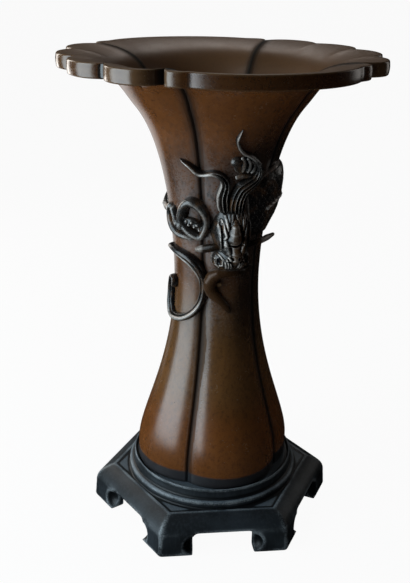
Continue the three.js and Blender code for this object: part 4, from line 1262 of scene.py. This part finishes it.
def stand_material():
    material, n, shader = surface("stand_blue_black_patina", metallic=0.1, specular=0.36)
    relief = n.attribute("relief")
    mottle = n.noise(0.06, 5)
    fine = n.noise(1.3, 6, 0.7)
    brushed = n.noise((0.9, 0.9, 0.08), 4)
    colour = n.mix(n.spread(mottle, 0.35, 0.65), STAND_DARK, STAND_BLUE)
    colour = n.coat(colour, STAND_BRUSHED, n.spread(brushed, 0.45, 0.7), 0.4)
    # paler on upward faces: partly dust, partly painted top light
    colour = n.coat(colour, STAND_DUST_AND_LIGHT, n.attribute("dust_and_top_light"), n.spread(fine, 0.3, 0.6, 0.45, 0.85))
    colour = n.coat(colour, STAND_RECESS, n.spread(relief, 0.44, 0.2))
    patches = n.spread(n.times(fine, mottle), 0.16, 0.34)
    colour = n.coat(colour, STAND_WORN, n.spread(relief, 0.6, 0.9), patches, 0.75)
    rough = n.spread(fine, 0.3, 0.7, 0.36, 0.52)
    finished(n, shader, colour, rough, n.bump(n.math("ADD", fine, brushed), distance=0.12, strength=0.35))
    return material


RIVET_DARK = (0.12, 0.06, 0.025)
RIVET_BRIGHT = (0.24, 0.13, 0.055)


def rivet_material():
    material, n, shader = surface("rivet_dull_bronze", metallic=0.6, specular=0.5)
    fine = n.noise(1.5, 5)
    colour = n.mix(n.spread(fine, 0.35, 0.65), RIVET_DARK, RIVET_BRIGHT)
    rough = n.spread(fine, 0.3, 0.7, 0.35, 0.55)
    finished(n, shader, colour, rough, n.bump(fine, distance=0.15, strength=0.3))
    return material


# Making the object

ornament_bronze = ornament_material("ornament_dark_patina", ORNAMENT_DARK, ORNAMENT_BROWN, 0.9)
lip_bronze = ornament_material("ornament_brown_patina", JAW_DARK, JAW_BROWN, 0.3)
stand_bronze = stand_material()
rivet_bronze = rivet_material()

MANE_RIDGES = 5
LOCK_RIDGES = 3
MANE_GRID = (200, 91)         # points along and across a strand
LOCK_GRID = (200, 61)
SCROLL_GRID = (300, 41)
TAIL_SIZE = (TAIL_WIDTH, TAIL_RELIEF)
TAIL_VOXEL = 0.2
CLAW_VOXEL = 0.16
JAW_RUB = 0.4

piece("vase_body_cast", vase_mesh(), "vase", "vase_bronze", None, "vase_body")
piece("stand_cast", stand_mesh(), "stand", "stand_bronze", stand_bronze, "stand")

# rim paints a highlight along each strand's left edge
combed("mane_broad_lock_combed", MANE_PLACES, hair(MANE_RIDGES),
       hair_relief(MANE_RIDGES, MANE_WIDTHS, *MANE_GRID, rub=0.6, rim=0.5),
       (MANE_WIDTH, MANE_RELIEF), MANE_WIDTHS, MANE_RELIEFS, *MANE_GRID)
combed("mane_left_lock_combed", LOCK_PLACES, hair(LOCK_RIDGES),
       hair_relief(LOCK_RIDGES, LOCK_WIDTHS, *LOCK_GRID, rub=0.75, rim=1.0),
       (LOCK_WIDTH, LOCK_RELIEF), LOCK_WIDTHS, LOCK_RELIEFS, *LOCK_GRID)
combed("tail_scroll_combed", SCROLL_PLACES, tail_section, tail_relief(*SCROLL_GRID),
       (SCROLL_WIDTH, SCROLL_RELIEF), SCROLL_WIDTHS, (1, 1), *SCROLL_GRID)
swept("dragon_back_scaled", back_shells(), ornament_bronze, ridge=(0.5, 0.07))
carved("tail_ring_cast", [
    strand(RING_PLACES, round_back, TAIL_SIZE, RING_WIDTHS, (1, 1), along=160, looped=True),
    strand(BAR_PLACES, round_back, TAIL_SIZE, BAR_WIDTHS, BAR_RELIEFS, along=60),
    *(wall_blob(place, BEAD_SIZES) for place in BEAD_PLACES)], TAIL_VOXEL, rounds=2, ridge=(1.6, 0.35))
carved("tail_tie_cast", [
    strand(TIE_PLACES, round_back, TAIL_SIZE, TIE_WIDTHS, TIE_RELIEFS, along=120),
    strand(KNOT_PLACES, round_back, TAIL_SIZE, KNOT_WIDTHS, KNOT_RELIEFS, along=80),
    wall_blob(*KNOT_BALL)], TAIL_VOXEL, rounds=2, ridge=(1.2, 0.4))
for side, (places, radii) in WHISKERS.items():
    rod = tube(wall_points(places), np.multiply(radii, WHISKER_WIDTH / 2), along=60, around=20)
    swept(f"whisker_{side}_rod", [rod], lip_bronze, ridge=(0.5, 0.012), brown=brown_tip, rub=pale_tip)
carved("dragon_claw_cast", [
    wall_blob(*KNOB),
    wall_blob(*PALM),
    tube(wall_points(WRIST_PLACES), np.multiply(WRIST_RADII, WRIST_WIDTH / 2)),
    *(tube(wall_points(places), np.multiply(TOE_RADII, CLAW_TOE_WIDTH / 2)) for places in TOES),
], CLAW_VOXEL, rounds=1, ridge=(0.9, 0.3), brown=brown_palm)
# face_rub_shaded_right paints shade on the face's right half
swept("dragon_head_cast", [head_shell()], ornament_bronze, ridge=(0.6, 0.11), brown=brown_nose,
      rub=face_rub_shaded_right)
swept("dragon_lower_jaw_cast", [jaw_shell()], lip_bronze, ridge=(0.5, 0.16), brown=lip_brown_and_shade,
      rub=lambda points: JAW_RUB)

for name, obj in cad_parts.items():
    if name.startswith("rivet_") or name == "bottom_plate":
        obj.data.materials.clear()
        obj.data.materials.append(rivet_bronze)


# Stage, in metres

FLOOR_REACH = 9.0
FLOOR_GREY = (0.75, 0.75, 0.75, 1)
FLOOR_WHITE = 0.95
CARD_BLACK = (0.012, 0.012, 0.012, 1)
WORLD_FILL = (0.05, 0.05, 0.053, 1)
WORLD_WHITE = (0.97, 0.97, 0.97, 1)


def pale_floor():
    """White to the eye and to reflections, but for a little of the object's shadow, and matt for light."""
    material = bpy.data.materials.new("floor_pale")
    material.use_nodes = True
    n = Nodes(material.node_tree)
    n.tree.nodes.clear()
    matt = n.add("ShaderNodeBsdfDiffuse")
    matt.inputs["Color"].default_value = FLOOR_GREY
    white = n.add("ShaderNodeEmission")
    n.blend(n.times(n.seen(), FLOOR_WHITE), matt, white, n.add("ShaderNodeOutputMaterial"))
    return material


def dark_card():
    material, _, shader = surface("card_dark", metallic=0.0, specular=0.0)
    shader.inputs["Base Color"].default_value = CARD_BLACK
    shader.inputs["Roughness"].default_value = 1.0
    return material


def stage_plane(name, points, faces, material):
    mesh = bpy.data.meshes.new(name)
    mesh.from_pydata([tuple(p) for p in points], [], faces)
    mesh.materials.append(material)
    obj = linked(name, mesh)
    return obj


corners = [(x * FLOOR_REACH, y * FLOOR_REACH, 0) for x, y in ((-1, -1), (1, -1), (1, 1), (-1, 1))]
stage_plane("floor", corners, [(0, 1, 2, 3)], pale_floor())

# Photograph's camera: distance and height, and how it is turned
CAMERA_DISTANCE = 0.4287
CAMERA_HEIGHT = 0.3065
CAMERA_PITCH = 22.261
CAMERA_ROLL = 1.2
CAMERA_YAW = -0.836
CAMERA_TURN = -7.37
CAMERA_LENS = 51.42


def photo_camera():
    pitch, roll, yaw = (math.radians(a) for a in (CAMERA_PITCH, CAMERA_ROLL, CAMERA_YAW))
    right = Vector((math.cos(yaw), -math.sin(yaw), 0))
    ahead = Vector((math.sin(yaw) * math.cos(pitch), math.cos(yaw) * math.cos(pitch), -math.sin(pitch)))
    up = right.cross(ahead)
    x_axis = math.cos(roll) * right + math.sin(roll) * up
    y_axis = math.cos(roll) * up - math.sin(roll) * right
    turn = Matrix.Rotation(math.radians(CAMERA_TURN), 4, "Z")
    axes = Matrix((x_axis, y_axis, -ahead)).transposed().to_4x4()
    data = bpy.data.cameras.new("camera")
    data.lens = CAMERA_LENS
    data.sensor_width = 36
    data.clip_start = 0.01
    camera = linked("camera", data)
    camera.matrix_world = turn @ Matrix.Translation((0, -CAMERA_DISTANCE, CAMERA_HEIGHT)) @ axes
    bpy.context.scene.camera = camera


def soft_light(name, azimuth, distance, height, size, power, colour, aim):
    """Rectangular lamp at an angle from the camera's direction, aimed at a height on the vase's axis."""
    data = bpy.data.lights.new(name, "AREA")
    data.shape = "RECTANGLE"
    data.size, data.size_y = size
    data.energy = power
    data.color = colour
    lamp = linked(name, data)
    turn = math.radians(azimuth + CAMERA_TURN)
    lamp.location = (distance * math.sin(turn), -distance * math.cos(turn), height)
    lamp.rotation_euler = (Vector((0, 0, aim)) - lamp.location).to_track_quat("-Z", "Y").to_euler()
    lamp.visible_camera = False


def studio_world():
    world = bpy.data.worlds.new("studio")
    bpy.context.scene.world = world
    world.use_nodes = True
    n = Nodes(world.node_tree)
    n.tree.nodes.clear()
    fill, white = n.add("ShaderNodeBackground"), n.add("ShaderNodeBackground")
    fill.inputs["Color"].default_value = WORLD_FILL
    white.inputs["Color"].default_value = WORLD_WHITE
    n.blend(n.seen(), fill, white, n.add("ShaderNodeOutputWorld"))


CARD_RADII = (0.04, 0.36, 2.0)
CARD_HEIGHT = 2.0
CARD_LIFT = 0.0006
CARD_GAP = (190, 230)         # directions in which the pale floor is left open beyond the middle radius


def dark_cards():
    """Dark cards round the set, seen only in reflections.

    They hide most of the pale background from the bronze, which the photograph shows mirroring a dark room.
    """
    material = dark_card()
    angles = np.arange(0, 360, 10)
    ring = [(math.sin(a), -math.cos(a)) for a in np.radians(angles)]
    count = len(ring)
    floor_points = [(radius * x, radius * y, CARD_LIFT) for radius in CARD_RADII for x, y in ring]
    high = CARD_RADII[-1]
    wall = [(high * x, high * y, z) for z in (0, CARD_HEIGHT) for x, y in ring]
    band = [(i, (i + 1) % count, count + (i + 1) % count, count + i) for i in range(count)]
    closed = [face for face, angle in zip(band, angles) if not CARD_GAP[0] <= angle < CARD_GAP[1]]
    outer = [[v + count for v in face] for face in closed]
    lid = [tuple(range(count, 2 * count))]
    for name, points, faces in (("card_floor", floor_points, band + outer), ("card_wall", wall, band + lid)):
        card = stage_plane(name, points, faces, material)
        for ray in ("camera", "diffuse", "transmission", "shadow"):
            setattr(card, "visible_" + ray, False)


photo_camera()
studio_world()
dark_cards()
# Direction from the camera's, distance, height, size, watts, colour and the height that the lamp faces
soft_light("window", -62, 0.4, 0.3, (0.39, 0.6), 2.85, (0.74, 0.9, 1.0), 0.3)
soft_light("left_edge", -128, 0.6, 0.3, (0.16, 0.5), 1.2, (1.0, 0.96, 0.9), 0.18)
soft_light("right_edge", 122, 0.7, 0.35, (0.25, 0.5), 0.28, (1.0, 0.97, 0.93), 0.15)
soft_light("back_fill", 180, 1.0, 1.1, (0.5, 0.5), 1.5, (1.0, 0.97, 0.93), 0.13)

bpy.context.scene.view_settings.view_transform = "Standard"
